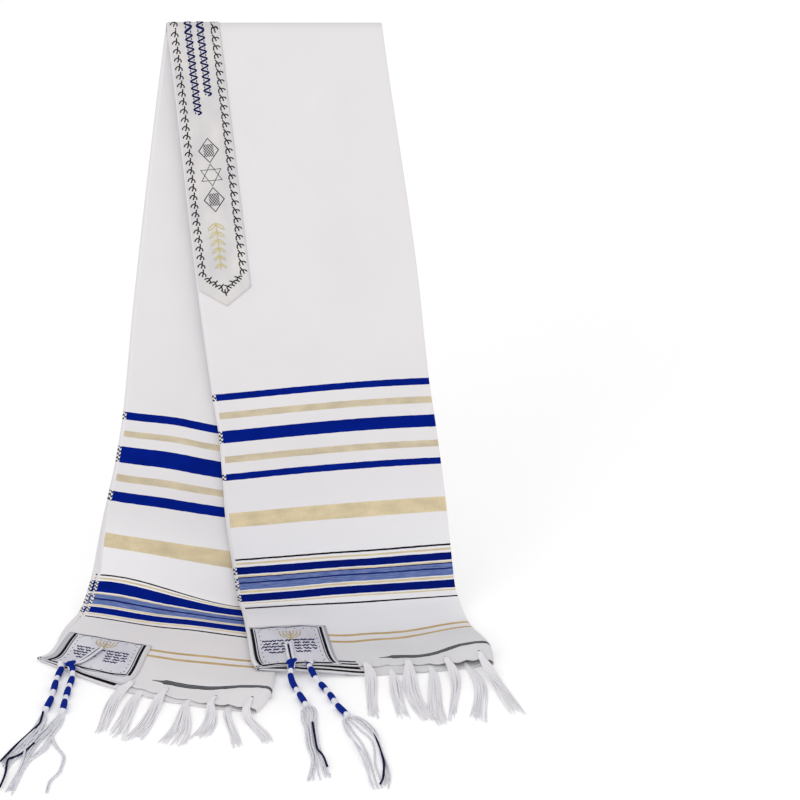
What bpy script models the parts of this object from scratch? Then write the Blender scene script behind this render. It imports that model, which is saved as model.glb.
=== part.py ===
"""A tallit prayer shawl, folded lengthwise and hung askew over a thin rod.

Metres, +Z up. The rod's axis runs along X through the origin and the front is -Y. The front fall
hangs at -Y and the back fall at +Y. Both ends turn towards -Y where they meet a level surface,
DROP below the rod, and lie on it with their fringe and tassels. The selvages are on the left of
the folded cloth, at -X, and the lengthwise fold is on its right.
"""

import functools
import math
from collections import namedtuple

import bmesh
import bpy
import numpy as np
from mathutils import Matrix

MM = 0.001
SEAM = 0.3 * MM
UP = np.array([0.0, 0.0, 1.0])

# The cloth: 500 mm between its selvages, folded to half of that
FOLDED_WIDTH = 250 * MM
WALL = 1.2 * MM
LAYER_GAP = 0.6 * MM
SHIFT = 28.5 * MM  # the rod crosses this far in front of the middle of the cloth
FRONT_SKEW = 12.4 * MM  # half the difference between the front fall's two edges
BACK_SKEW = 17.4 * MM

# The rod in the fold, and the surface below it
ROD_RADIUS = 4 * MM
ROD_LEFT, ROD_RIGHT = -118 * MM, 118.5 * MM
DROP = 730 * MM
CREST_RADIUS = ROD_RADIUS + 2 * SEAM + WALL + LAYER_GAP / 2
CREST_LEFT, CREST_RIGHT = -117.5 * MM, 120.5 * MM

# Where cloth lies flat, its middle is this high, and near the fold it swells
REST = 0.5 * MM + WALL + LAYER_GAP / 2
SWELL_FROM = 0.70

# One row for each weft line that a fall is set out by, in millimetres. `woven` is its distance
# from the middle of the cloth. Then come the left and the right end: x, y and height over the
# surface. `bow` is how far a lying row's middle comes forward of the line between its ends.
# `drop_from` and `drop_to` are the shares of the width between which a lying row comes down from
# its left end's height, and both are 0 on a row that hangs.
Row = namedtuple(
    "Row", "line woven left_x left_y left_h right_x right_y right_h bow drop_from drop_to"
)

FRONT_ROWS = (
    Row("neckband tip", 345, -89, -9, 413, 160, -10, 437, 0, 0, 0),
    Row("first blue", 482, -74, -11, 274, 174, -13, 297, 0, 0, 0),
    Row("wide blue", 532, -67, -12, 223, 181, -15, 247, 0, 0, 0),
    Row("wide gold", 638, -61, -13, 114, 194, -20, 141, 0, 0, 0),
    Row("first black", 687, -55, -15, 63, 199, -24, 90, 0, 0, 0),
    Row("second black", 758, -45, -32, 8.7, 207, -26, 24, 0, 0, 0),
    Row("gold pair", 822, -34.5, -106, 8.7, 220, -76, 6, 0, 0.22, 0.50),
    Row("grey line", 876, -28.5, -158, 8.7, 238, -130, 9.7, 0, 0.22, 0.50),
    Row("hem", 900, -22, -174, 8.7, 246, -156, 5, -5, 0.22, 0.50),
)
BACK_ROWS = (
    Row("neckband tip", 345, -163, 0, 386, 84, 3, 351, 0, 0, 0),
    Row("first blue", 482, -178, -6, 248, 66, -2, 203, 0, 0, 0),
    Row("wide blue", 532, -186, -8, 199, 57, -2, 152, 0, 0, 0),
    Row("wide gold", 638, -207, -14, 89, 34, -4, 40, 0, 0, 0),
    Row("first black", 687, -212, -18, 45, 14, -24, 2, 0, 0, 0.80),
    Row("second black", 758, -229, -47, 6, 6, -100, 2, 0, 0, 0.40),
    Row("gold pair", 822, -250, -92, 3.4, -1, -157, 2, 10, 0.30, 0.60),
    Row("grey line", 876, -265, -134, 3.4, -10, -224, 7, 15, 0.30, 0.60),
    Row("hem", 900, -276, -141, 3.4, -23, -261, 4, 14, 0.30, 0.60),
)

# `front` is -1 on the fall whose outer side faces -Y. `slip` is how far the under layer's hem
# shows past the upper one's where the end lies flat.
Fall = namedtuple("Fall", "name front skew slip rows")
FRONT = Fall("front_fall", -1, FRONT_SKEW, 18 * MM, FRONT_ROWS)
BACK = Fall("back_fall", 1, BACK_SKEW, 9 * MM, BACK_ROWS)
SLIP_LEAN = 0.9  # under 1, the under layer slips further near the selvages
CREST_ROWS = 3  # rows that turn over the rod, ahead of the table's own
HEM = CREST_ROWS + len(FRONT_ROWS) - 1

# Shares of the folded width at the cloth's columns, and stations in each step between two rows
COLUMNS = [0, 0.09, 0.19, 0.30, 0.41, 0.52, 0.62, 0.71, 0.79, 0.86, 0.925, 0.97, 1.0]
TURN_POINTS = 3
STEPS = [1, 1, 3, 2, 1, 2, 2, 4, 4, 3, 2]
LINE_CLEAR = 0.005  # a piece's edge and a line of the cloth's mesh are no nearer than this

# The neckband, down the left selvage of the outer layer on both falls, pointed at both ends
BAND_WALL = 0.9 * MM
BAND_FROM, BAND_MIDDLE, BAND_TO = 0.008, 0.127, 0.246  # shares of the folded width
BAND_HALF = 369 * MM
BAND_POINT = 22 * MM

# The patches that strengthen the four corners: shares of the width, and row numbers
PATCH_WALL = 0.8 * MM
Patch = namedtuple("Patch", "fall u_from u_to t_from t_to")
PATCHES = [Patch(FRONT, 0.015, 0.365, 8.72, 10.95), Patch(BACK, 0.02, 0.41, 8.80, 10.96)]

# The fringe: locks of strands, each rooted in a narrow strip along one layer's hem. `tip_x` and
# `tip_y` are how far a lock's tip lies from its root, in millimetres.
STRIP_LENGTH = 3.5 * MM
LOCK_STRANDS = 10
ROOT_PITCH, MIDDLE_PITCH, TIP_PITCH = 1.0 * MM, 1.45 * MM, 1.3 * MM
STRAND_SHARE = 0.72  # a strand's width as a share of the pitch
STRAND_STEPS = 5
HOLD = 0.35  # share of a strand that keeps its root's height, over the under layer's hem
STRAND_CLEAR = 0.5 * MM  # between a lying strand and the surface
STRAND_RISE = 1.7  # a strand's ridge, over half its width
LEAVE, ARRIVE = 0.35, 0.40  # shares of a strand's length that its bend takes at each end
STRAND_WAVE = 1.2 * MM
STRAND_ARCH = 1.4 * MM
UNEVEN = 0.05  # strands end this share of their length apart
Lock = namedtuple("Lock", "layer u tip_x tip_y")
FRINGES = {
    "front": (
        FRONT,
        [
            Lock("upper", 0.47, 8, -122),
            Lock("lower", 0.56, 16, -106),
            Lock("upper", 0.65, 21, -118),
            Lock("lower", 0.745, 9, -94),
            Lock("upper", 0.82, 11, -107),
            Lock("lower", 0.91, 6, -109),
            Lock("upper", 0.965, 34, -107),
        ],
    ),
    "back": (
        BACK,
        [
            Lock("upper", 0.43, -24, -102),
            Lock("lower", 0.51, -17, -95),
            Lock("upper", 0.63, -21, -83),
            Lock("lower", 0.72, -11, -82),
            Lock("upper", 0.80, -9, -76),
            Lock("lower", 0.88, 10, -67),
            Lock("upper", 0.96, 26, -72),
        ],
    ),
}

# The tassels. `lead` are places on the cloth as (share of width, row) from the hole to the hem;
# `cord` goes on over the surface; `first` and `last` are the outer two strands' bends and tips.
# All in millimetres: x, y and, on the cord, the height of its axis.
CORD_RADIUS = 3.6 * MM
LEAD_RADIUS = 2.0 * MM
LEAD_CLEAR = 0.9 * MM  # between the upper hem and a cord that comes from between the layers
CORD_SIDES = 8
CORD_SPACING = 7 * MM
TASSEL_STRANDS = 8
TASSEL_STEPS = 8
TASSEL_STRAND_RADIUS = 1.1 * MM
TASSEL_LEAVE = 25 * MM  # how straight a strand leaves its cord
TASSEL_UNEVEN = 0.06
ROOT_INSET = 0.25 * MM  # between the roots of two strands
THICKEN_FROM, THICKEN_TO = 1 * MM, 8 * MM  # past the hem, a cord grows to its full radius
HEM_SINK = 0.4 * MM  # a cord from between the layers leaves this much below the upper wall's top
Tassel = namedtuple("Tassel", "name fall lead cord first last")
TASSELS = [
    Tassel(
        "tassel_front_upper",
        FRONT,
        [(0.18, 9.45), (0.15, 10.3), (0.135, 10.95)],
        [(17, -180, 14), (16, -188, 11.5), (16, -197, 7), (20, -207, 4.3), (29, -226, 4.3)]
        + [(37, -243, 4.3)],
        [(43, -332), (40, -415)],
        [(58, -334), (73, -413)],
    ),
    Tassel(
        "tassel_front_lower",
        FRONT,
        [(0.22, HEM)],
        [(41, -184, 13), (44, -192, 10), (50, -202, 5), (63, -225, 4.3), (74, -252, 4.3)]
        + [(84, -268, 4.3)],
        [(95, -332), (115, -420)],
        [(117, -332), (130, -426)],
    ),
    Tassel(
        "tassel_back_upper",
        BACK,
        [(0.21, 9.5), (0.17, 10.5), (0.16, 10.95)],
        [(-233, -177, 9), (-233, -186, 5), (-234, -196, 4.3), (-237, -223, 4.3), (-242, -263, 4.3)],
        [(-254, -341), (-280, -430)],
        [(-231, -349), (-248, -430)],
    ),
    Tassel(
        "tassel_back_lower",
        BACK,
        [(0.10, HEM)],
        [(-251, -170, 6.5), (-252, -179, 4.3), (-253, -205, 4.3), (-257, -240, 4.3), (-262, -256, 4.3)],
        [(-284, -328), (-303, -384)],
        [(-267, -313), (-292, -434)],
    ),
]


def material(name, colour, roughness, metallic=0.0):
    found = bpy.data.materials.get(name)
    if found:
        return found
    made = bpy.data.materials.new(name)
    made.use_nodes = True
    shader = made.node_tree.nodes["Principled BSDF"]
    shader.inputs["Base Color"].default_value = (*colour, 1.0)
    shader.inputs["Roughness"].default_value = roughness
    shader.inputs["Metallic"].default_value = metallic
    return made


def node_from(bm, name, look):
    bmesh.ops.recalc_face_normals(bm, faces=bm.faces)
    mesh = bpy.data.meshes.new(name)
    bm.to_mesh(mesh)
    bm.free()
    mesh.materials.append(look)
    mesh.shade_smooth()
    mesh.set_sharp_from_angle(angle=math.radians(40))
    made = bpy.data.objects.new(name, mesh)
    bpy.context.scene.collection.objects.link(made)
    return made


def smooth_step(low, high, value):
    if high <= low:
        return np.where(value >= high, 1.0, 0.0)
    share = np.clip((value - low) / (high - low), 0.0, 1.0)
    return share * share * (3 - 2 * share)


def monotone(knots, values, wanted):
    """A cubic through `values` at `knots` that never overshoots them, read at `wanted`."""
    gaps = np.diff(knots)
    slopes = np.diff(values, axis=0) / gaps[:, None]
    tangents = np.zeros_like(values)
    tangents[0], tangents[-1] = slopes[0], slopes[-1]
    product = slopes[:-1] * slopes[1:]
    total = slopes[:-1] + slopes[1:]
    same_way = product > 0
    tangents[1:-1] = np.where(same_way, 2 * product / np.where(same_way, total, 1), 0)
    i = int(np.clip(np.searchsorted(knots, wanted, side="right") - 1, 0, len(gaps) - 1))
    s = (wanted - knots[i]) / gaps[i]
    rise = s * s * (3 - 2 * s)
    return (
        values[i] * (1 - rise)
        + values[i + 1] * rise
        + tangents[i] * gaps[i] * s * (1 - s) ** 2
        - tangents[i + 1] * gaps[i] * s * s * (1 - s)
    )


def column_rows(fall, u):
    """Woven distance, place and fold swelling of every row of a fall, `u` of the width across."""
    crest_woven = -fall.front * (SHIFT + fall.skew * (2 * u - 1))
    crest_x = CREST_LEFT + (CREST_RIGHT - CREST_LEFT) * u
    drift = -fall.front * 2 * fall.skew / FOLDED_WIDTH
    woven, places, swell = [], [], []
    for turn in range(CREST_ROWS):
        angle = math.pi / 2 * turn / (CREST_ROWS - 1)
        down = CREST_RADIUS * angle
        woven.append(crest_woven + down)
        y = fall.front * max(CREST_RADIUS * math.sin(angle), SEAM / 2)
        places.append((crest_x + drift * down, y, CREST_RADIUS * math.cos(angle)))
        swell.append(0.0)
    for row in fall.rows:
        woven.append(row.woven * MM)
        left_h, right_h = row.left_h * MM, row.right_h * MM
        bow = row.bow * math.sin(math.pi * u)
        if row.drop_to > 0:
            dropped = float(smooth_step(row.drop_from, row.drop_to, u))
            swollen = float(smooth_step(SWELL_FROM, 1.0, u))
            height = REST + (left_h - REST) * (1 - dropped) + (right_h - REST) * swollen
            swell.append(2 * (right_h - REST) * swollen)
        else:
            height = left_h + (right_h - left_h) * u
            swell.append(0.0)
        places.append(
            (
                (row.left_x + (row.right_x - row.left_x) * u) * MM,
                (row.left_y + (row.right_y - row.left_y) * u - bow) * MM,
                height - DROP,
            )
        )
    return np.array(woven), np.array(places), np.array(swell)


def middle(fall, u, t):
    """The point halfway between the two layers, and the gap between them, at share `u` of the
    width and row number `t`."""
    woven, places, swell = column_rows(fall, u)
    i = min(int(t), len(woven) - 2)
    wanted = woven[i] + (woven[i + 1] - woven[i]) * (t - i)
    point = monotone(woven, places, wanted)
    gap = LAYER_GAP + float(monotone(woven, swell[:, None], wanted)[0])
    return point, gap


def frame(fall, u, t):
    """Point, outward normal, downward direction along the cloth, and gap between the layers."""
    point, gap = middle(fall, u, t)
    u0, u1 = max(u - 0.01, 0.0), min(u + 0.01, 1.0)
    t0, t1 = max(t - 0.02, 0.0), min(t + 0.02, float(HEM))
    across = middle(fall, u1, t)[0] - middle(fall, u0, t)[0]
    along = middle(fall, u, t1)[0] - middle(fall, u, t0)[0]
    along /= np.linalg.norm(along)
    normal = np.cross(across, along) * fall.front
    normal /= np.linalg.norm(normal)
    if t == 0:
        normal, along = UP, np.array([0.0, fall.front, 0])
    return point, normal, along, gap


def slip(fall, u, t, layer):
    """How far the under layer of a lying end has slid past the upper one."""
    if layer * fall.front < 0:
        return 0.0
    return fall.slip * math.sin(math.pi * u**SLIP_LEAN) * float(smooth_step(HEM - 2, HEM, t))


@functools.cache
def skin(fall, u, t, layer, out):
    """A point on the outer (`layer` 1) or inner (-1) layer, `out` from the gap's face."""
    point, normal, along, gap = frame(fall, u, t)
    return point + normal * layer * (gap / 2 + out) + along * slip(fall, u, t, layer)


def turned(fall, t, out):
    """Points round the lengthwise fold, from the outer layer's edge to the inner layer's."""
    point, normal, along, gap = frame(fall, 1.0, t)
    side = np.cross(normal, along) * -fall.front
    side /= np.linalg.norm(side)
    radius = gap / 2 + out
    points = []
    for k in range(1, TURN_POINTS + 1):
        angle = math.pi * k / (TURN_POINTS + 1)
        points.append(point + normal * radius * math.cos(angle) + side * radius * math.sin(angle))
    return points


def stations():
    rows = [0.0]
    for i, steps in enumerate(STEPS):
        rows += [i + (k + 1) / steps for k in range(steps)]
    return rows


def lines_between(low, high, cloth_lines, extra=()):
    """The cloth's own mesh lines from `low` to `high`, so that what lies on it has its facets."""
    inside = [
        line for line in (*cloth_lines, *extra) if low + LINE_CLEAR < line < high - LINE_CLEAR
    ]
    return [low, *sorted(inside), high]


def on_facets(fall, u, t, layer, out):
    """A point over the cloth's mesh as it is built, between its columns and stations."""
    rows = stations()
    i = min(np.searchsorted(COLUMNS, u, side="right") - 1, len(COLUMNS) - 2)
    j = min(np.searchsorted(rows, t, side="right") - 1, len(rows) - 2)
    a = (u - COLUMNS[i]) / (COLUMNS[i + 1] - COLUMNS[i])
    b = (t - rows[j]) / (rows[j + 1] - rows[j])
    near, far = (
        skin(fall, COLUMNS[i], rows[k], layer, out) * (1 - a)
        + skin(fall, COLUMNS[i + 1], rows[k], layer, out) * a
        for k in (j, j + 1)
    )
    return near * (1 - b) + far * b


def build_fall(fall, look):
    """Both layers of one fall as a single wall that turns back on itself at the fold."""
    bm = bmesh.new()
    rings = []
    for t in stations():
        far = [skin(fall, u, t, 1, WALL) for u in COLUMNS]
        far += turned(fall, t, WALL)
        far += [skin(fall, u, t, -1, WALL) for u in reversed(COLUMNS)]
        near = [skin(fall, u, t, 1, 0) for u in COLUMNS]
        near += turned(fall, t, 0)
        near += [skin(fall, u, t, -1, 0) for u in reversed(COLUMNS)]
        rings.append(([bm.verts.new(p) for p in far], [bm.verts.new(p) for p in near]))
    for (far0, near0), (far1, near1) in zip(rings, rings[1:]):
        for k in range(len(far0) - 1):
            bm.faces.new((far0[k], far0[k + 1], far1[k + 1], far1[k]))
            bm.faces.new((near0[k + 1], near0[k], near1[k], near1[k + 1]))
        for k in (0, -1):
            bm.faces.new((far0[k], far1[k], near1[k], near0[k]))
    for far, near in (rings[0], rings[-1]):
        for k in range(len(far) - 1):
            bm.faces.new((far[k], far[k + 1], near[k + 1], near[k]))
    return node_from(bm, fall.name, look)


def row_at(fall, u, woven):
    """The row number at a distance from the middle of the cloth."""
    knots = column_rows(fall, u)[0]
    return float(np.interp(woven, knots, range(len(knots))))


def build_plate(name, look, grid):
    """A closed plate from a grid of (under point, upper point) pairs."""
    bm = bmesh.new()
    under = [[bm.verts.new(pair[0]) for pair in line] for line in grid]
    upper = [[bm.verts.new(pair[1]) for pair in line] for line in grid]
    for i in range(len(grid) - 1):
        for j in range(len(grid[0]) - 1):
            for sheet, turn in ((under, 1), (upper, -1)):
                corners = (sheet[i][j], sheet[i][j + 1], sheet[i + 1][j + 1], sheet[i + 1][j])
                bm.faces.new(corners[::turn])
    edge = [edge for edge in bm.edges if len(edge.link_faces) == 1]
    bmesh.ops.bridge_loops(bm, edges=edge)
    return node_from(bm, name, look)


def build_band(look):
    """The neckband, over the fold on the outer layer, from its front point to its back one."""
    columns = lines_between(BAND_FROM, BAND_TO, COLUMNS, [BAND_MIDDLE])
    low = WALL + SEAM
    grid = []
    for fall in (FRONT, BACK):
        ends = []
        for u in columns:
            off_middle = abs(u - BAND_MIDDLE) / (BAND_TO - BAND_MIDDLE)
            ends.append(row_at(fall, u, BAND_HALF - BAND_POINT * off_middle))
        lines = []
        for t in [t for t in stations() if t < min(ends) - LINE_CLEAR] + [None]:
            pairs = []
            for u, end in zip(columns, ends):
                row = end if t is None else t
                pairs.append([on_facets(fall, u, row, 1, low + out) for out in (0, BAND_WALL)])
            lines.append(pairs)
        grid = lines[::-1] if fall is FRONT else grid + lines[1:]
    return build_plate("neckband", look, grid)


def visible_layer(fall):
    """The layer that lies uppermost where a fall's end is turned out."""
    return -fall.front


def build_patch(patch, layer, name, look):
    low = WALL + SEAM
    grid = []
    for t in lines_between(patch.t_from, patch.t_to, stations()):
        line = []
        for u in lines_between(patch.u_from, patch.u_to, COLUMNS):
            line.append([on_facets(patch.fall, u, t, layer, low + out) for out in (0, PATCH_WALL)])
        grid.append(line)
    return build_plate(name, look, grid)


def bezier(a, b, c, d, s):
    r = 1 - s
    return a * r**3 + b * 3 * r * r * s + c * 3 * r * s * s + d * s**3


def strand_rings(root, along, side, offset, lock):
    """Three-sided sections of one strand, from beyond its root to its tip."""
    reach = np.array([lock.tip_x * MM, lock.tip_y * MM, 0.0])
    length = np.linalg.norm(reach)
    tip = root + reach * (1 - UNEVEN * abs(math.sin(3.1 * offset + 7 * lock.u)))
    tip[2] = STRAND_CLEAR - DROP
    leave, bend = root + along * LEAVE * length, tip - reach * ARRIVE
    rings = []
    for k in range(1, STRAND_STEPS + 1):
        s = k / STRAND_STEPS
        wave = STRAND_WAVE * math.sin(5 * s + 9 * lock.u) * s
        pitch = np.interp(s, [0, 0.5, 1], [ROOT_PITCH, MIDDLE_PITCH, TIP_PITCH])
        centre = bezier(root, leave, bend, tip, s) + side * (offset * pitch + wave)
        fallen = float(smooth_step(HOLD, 1.0, s))
        centre[2] = root[2] + (tip[2] - root[2]) * fallen + STRAND_ARCH * math.sin(math.pi * s)
        half = pitch * STRAND_SHARE / 2
        rings.append((centre - side * half, centre + side * half, centre + UP * STRAND_RISE * half))
    return rings


def strip_stops(locks):
    """Shares of the width along a strip, each with the lock and the strand that starts there."""
    half_lock = ROOT_PITCH * LOCK_STRANDS / 2 / FOLDED_WIDTH
    stops = [(locks[0].u - 2.5 * half_lock, None, 0)]
    for lock in locks:
        places = np.linspace(lock.u - half_lock, lock.u + half_lock, LOCK_STRANDS + 1)
        if len(stops) > 1:
            stops.append(((stops[-1][0] + places[0]) / 2, None, 0))
        stops += [(u, lock, k) for k, u in enumerate(places[:-1])]
        stops.append((places[-1], None, 0))
    stops.append((min(locks[-1].u + 1.4 * half_lock, 0.995), None, 0))
    return stops


def build_fringe(name, fall, layer, locks, look):
    """A narrow strip along the hem, with a lock of strands growing from each of its places."""
    bm = bmesh.new()
    lift = UP * WALL / 2
    stops = strip_stops(locks)
    posts, fars, alongs = [], [], []
    for u, _, _ in stops:
        point = skin(fall, u, HEM, layer, WALL / 2)
        along = frame(fall, u, HEM)[2] * [1, 1, 0]
        along /= np.linalg.norm(along)
        near, far = point + along * SEAM, point + along * (SEAM + STRIP_LENGTH)
        posts.append([bm.verts.new(p) for p in (near - lift, near + lift, far - lift, far + lift)])
        fars.append(far)
        alongs.append(along)
    for i, (_, lock, strand) in enumerate(stops[:-1]):
        a, b = posts[i], posts[i + 1]
        bm.faces.new((a[0], b[0], b[2], a[2]))
        bm.faces.new((a[0], a[1], b[1], b[0]))
        if lock is None:
            bm.faces.new((a[1], a[3], b[3], b[1]))
            bm.faces.new((a[2], b[2], b[3], a[3]))
            continue
        peak = bm.verts.new((a[3].co + b[3].co) / 2)
        bm.faces.new((a[1], a[3], peak, b[3], b[1]))
        bm.faces.new((a[2], peak, a[3]))
        bm.faces.new((peak, b[2], b[3]))
        side = np.cross(alongs[i], UP)
        if np.dot(side, b[2].co - a[2].co) < 0:
            side = -side
        offset = strand + 0.5 - LOCK_STRANDS / 2
        root = (fars[i] + fars[i + 1]) / 2 - lift - side * offset * ROOT_PITCH
        ring = (a[2], b[2], peak)
        for section in strand_rings(root, alongs[i], side, offset, lock):
            ahead = [bm.verts.new(p) for p in section]
            for m in range(3):
                bm.faces.new((ring[m], ring[(m + 1) % 3], ahead[(m + 1) % 3], ahead[m]))
            ring = ahead
        bm.faces.new(ring)
    for end in (posts[0], posts[-1]):
        bm.faces.new((end[0], end[1], end[3], end[2]))
    return node_from(bm, name, look)


def smooth_route(points, spacing):
    """Points at about `spacing` along a smooth curve through `points`."""
    points = np.array(points)
    knots = np.concatenate([[0], np.cumsum(np.linalg.norm(np.diff(points, axis=0), axis=1))])
    count = max(2, round(knots[-1] / spacing))
    return [monotone(knots, points, d) for d in np.linspace(0, knots[-1], count + 1)]


def tassel_route(tassel):
    """The cord's axis, and how much of its length lies on the cloth."""
    fall, layer = tassel.fall, visible_layer(tassel.fall)
    lift = WALL + 2 * SEAM + PATCH_WALL + SEAM + LEAD_RADIUS
    route = []
    for u, t in tassel.lead:
        if t == HEM:
            past = skin(fall, u, t, layer, WALL / 2) + frame(fall, u, t)[2] * LEAD_CLEAR
            route.append(past + UP * (LEAD_RADIUS - HEM_SINK))
        else:
            route.append(skin(fall, u, t, layer, lift))
    lead_length = sum(np.linalg.norm(b - a) for a, b in zip(route, route[1:]))
    route += [np.array([x * MM, y * MM, h * MM - DROP]) for x, y, h in tassel.cord]
    return smooth_route(route, CORD_SPACING), lead_length


def build_tassel(tassel, look):
    """A wound cord that ends in eight loose strands."""
    route, lead_length = tassel_route(tassel)
    bm = bmesh.new()
    travelled, ring = 0.0, None
    for k, point in enumerate(route):
        ahead = route[min(k + 1, len(route) - 1)] - route[max(k - 1, 0)]
        ahead /= np.linalg.norm(ahead)
        side = np.cross(ahead, UP)
        side /= np.linalg.norm(side)
        up = np.cross(side, ahead)
        travelled += np.linalg.norm(point - route[k - 1]) if k else 0
        grown = smooth_step(lead_length + THICKEN_FROM, lead_length + THICKEN_TO, travelled)
        radius = LEAD_RADIUS + (CORD_RADIUS - LEAD_RADIUS) * float(grown)
        turns = [2 * math.pi * (m + 0.5) / CORD_SIDES for m in range(CORD_SIDES)]
        section = [
            bm.verts.new(point + radius * (side * math.cos(a) + up * math.sin(a))) for a in turns
        ]
        if ring:
            for m in range(CORD_SIDES):
                n = (m + 1) % CORD_SIDES
                bm.faces.new((ring[m], ring[n], section[n], section[m]))
        else:
            bm.faces.new(section)
        ring = section
    hub = bm.verts.new(route[-1])
    wedges = [
        bm.faces.new((ring[m], ring[(m + 1) % CORD_SIDES], hub)) for m in range(CORD_SIDES)
    ]
    grow_strands(bm, wedges, ahead, side, tassel)
    return node_from(bm, tassel.name, look)


def grow_strands(bm, wedges, ahead, side, tassel):
    """Each wedge of the cord's end goes on as a loose three-sided strand."""
    first, last = (
        [np.array([x * MM, y * MM, STRAND_CLEAR + TASSEL_STRAND_RADIUS - DROP]) for x, y in guide]
        for guide in (tassel.first, tassel.last)
    )
    across = side if np.dot(side, last[0] - first[0]) > 0 else -side
    wedges.sort(key=lambda face: np.dot(across, face.calc_center_median()))
    for k, wedge in enumerate(wedges):
        share = k / (TASSEL_STRANDS - 1)
        via, tip = (first[m] * (1 - share) + last[m] * share for m in (0, 1))
        tip += (tip - via) * TASSEL_UNEVEN * math.sin(2.3 * k + len(tassel.name))
        start = np.array(wedge.calc_center_median())
        bends = (start, start + ahead * TASSEL_LEAVE, via, tip)
        bmesh.ops.inset_individual(bm, faces=[wedge], thickness=ROOT_INSET)
        face = wedge
        for step in range(1, TASSEL_STEPS + 1):
            s = step / TASSEL_STEPS
            centre = bezier(*bends, s)
            slope = centre - bezier(*bends, s - 0.02)
            face = bmesh.ops.extrude_discrete_faces(bm, faces=[face])["faces"][0]
            place_section(face, centre, slope)


def place_section(face, centre, slope):
    """A three-cornered face moves to `centre`, square to `slope`, with one corner on top."""
    across = np.cross(slope, UP)
    across /= np.linalg.norm(across)
    middle_now = face.calc_center_median()

    def turn(vert):
        arm = vert.co - middle_now
        return math.atan2(np.dot(arm, across), np.dot(arm, UP))

    for vert, angle in zip(sorted(face.verts, key=turn), (-2 * math.pi / 3, 0.0, 2 * math.pi / 3)):
        vert.co = centre + TASSEL_STRAND_RADIUS * (across * math.sin(angle) + UP * math.cos(angle))


def build_rod(look):
    bm = bmesh.new()
    bmesh.ops.create_cone(
        bm,
        cap_ends=True,
        segments=16,
        radius1=ROD_RADIUS,
        radius2=ROD_RADIUS,
        depth=ROD_RIGHT - ROD_LEFT,
    )
    bmesh.ops.rotate(bm, verts=bm.verts, matrix=Matrix.Rotation(math.pi / 2, 3, "Y"))
    bmesh.ops.translate(bm, verts=bm.verts, vec=((ROD_LEFT + ROD_RIGHT) / 2, 0, 0))
    return node_from(bm, "rod", look)


for old in list(bpy.data.objects):
    bpy.data.objects.remove(old)

CLOTH = material("white woven cloth", (0.80, 0.80, 0.83), 0.75)
SATIN = material("silver satin", (0.55, 0.56, 0.60), 0.40)
YARN = material("white yarn", (0.80, 0.80, 0.82), 0.85)
METAL = material("grey painted metal", (0.45, 0.45, 0.46), 0.35, 0.6)

build_rod(METAL)
for fall in (FRONT, BACK):
    build_fall(fall, CLOTH)
build_band(SATIN)
for patch in PATCHES:
    end = patch.fall.name.split("_")[0]
    upper = visible_layer(patch.fall)
    build_patch(patch, upper, f"corner_patch_{end}_upper", SATIN)
    build_patch(patch, -upper, f"corner_patch_{end}_lower", SATIN)
for end, (fall, locks) in FRINGES.items():
    for layer_name, turn in (("upper", 1), ("lower", -1)):
        chosen = [lock for lock in locks if lock.layer == layer_name]
        layer = visible_layer(fall) * turn
        build_fringe(f"fringe_{end}_{layer_name}", fall, layer, chosen, YARN)
for tassel in TASSELS:
    build_tassel(tassel, YARN)
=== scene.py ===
"""A tallit prayer shawl, folded lengthwise and hung askew over a thin rod, over its solids."""

import math
from collections import namedtuple

import bmesh
import bpy
import numpy as np
from mathutils import Matrix, Vector


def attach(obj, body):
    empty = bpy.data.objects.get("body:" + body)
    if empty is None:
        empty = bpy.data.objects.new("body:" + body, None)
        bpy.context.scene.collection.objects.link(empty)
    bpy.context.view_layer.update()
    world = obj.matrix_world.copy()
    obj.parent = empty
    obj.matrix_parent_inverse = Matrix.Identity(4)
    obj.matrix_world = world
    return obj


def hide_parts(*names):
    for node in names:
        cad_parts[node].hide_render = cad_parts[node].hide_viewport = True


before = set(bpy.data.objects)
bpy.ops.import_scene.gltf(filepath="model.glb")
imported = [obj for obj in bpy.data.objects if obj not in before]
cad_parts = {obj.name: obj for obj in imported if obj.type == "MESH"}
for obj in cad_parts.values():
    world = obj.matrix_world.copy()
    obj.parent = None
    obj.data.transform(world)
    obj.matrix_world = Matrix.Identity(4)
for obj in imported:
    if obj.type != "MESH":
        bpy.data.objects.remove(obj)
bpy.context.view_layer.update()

MM = 0.001
rng = np.random.default_rng(18)

# ---------------------------------------------------------------------------------------------
# The cloth's form, in millimetres. Positions are from the rod's axis, and z is up.

HALF = 250.0  # the cloth is 500 wide and folded to this
DROP = 730.0
ROD_RADIUS = 4.0
ROD_CLEAR, FLOOR_CLEAR = 0.6, 0.5
WALL = 1.2  # of the solids
LAYER_GAP = 0.6
SHIFT = 28.5  # how far the cloth's middle lies off the rod
# how far either way, at the cloth's edges, the rod crosses it askew: in both falls' form, and in
# the weave
FRONT_SKEW, BACK_SKEW, SKEW = 12.4, 17.4, 14.9
CREST_RADIUS = ROD_RADIUS + ROD_CLEAR + WALL + LAYER_GAP / 2
CREST_LEFT, CREST_RIGHT = -117.5, 120.5  # the cloth's edges, on the rod
REST = FLOOR_CLEAR + WALL + LAYER_GAP / 2  # height between the layers where they lie flat
SWELL_FROM = 0.70  # share of the width past which the lengthwise fold is fuller
SLIP_LEAN = 0.9  # under 1, the hidden layer slides out most on the selvages' side
CREST_ROWS = 3

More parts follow.
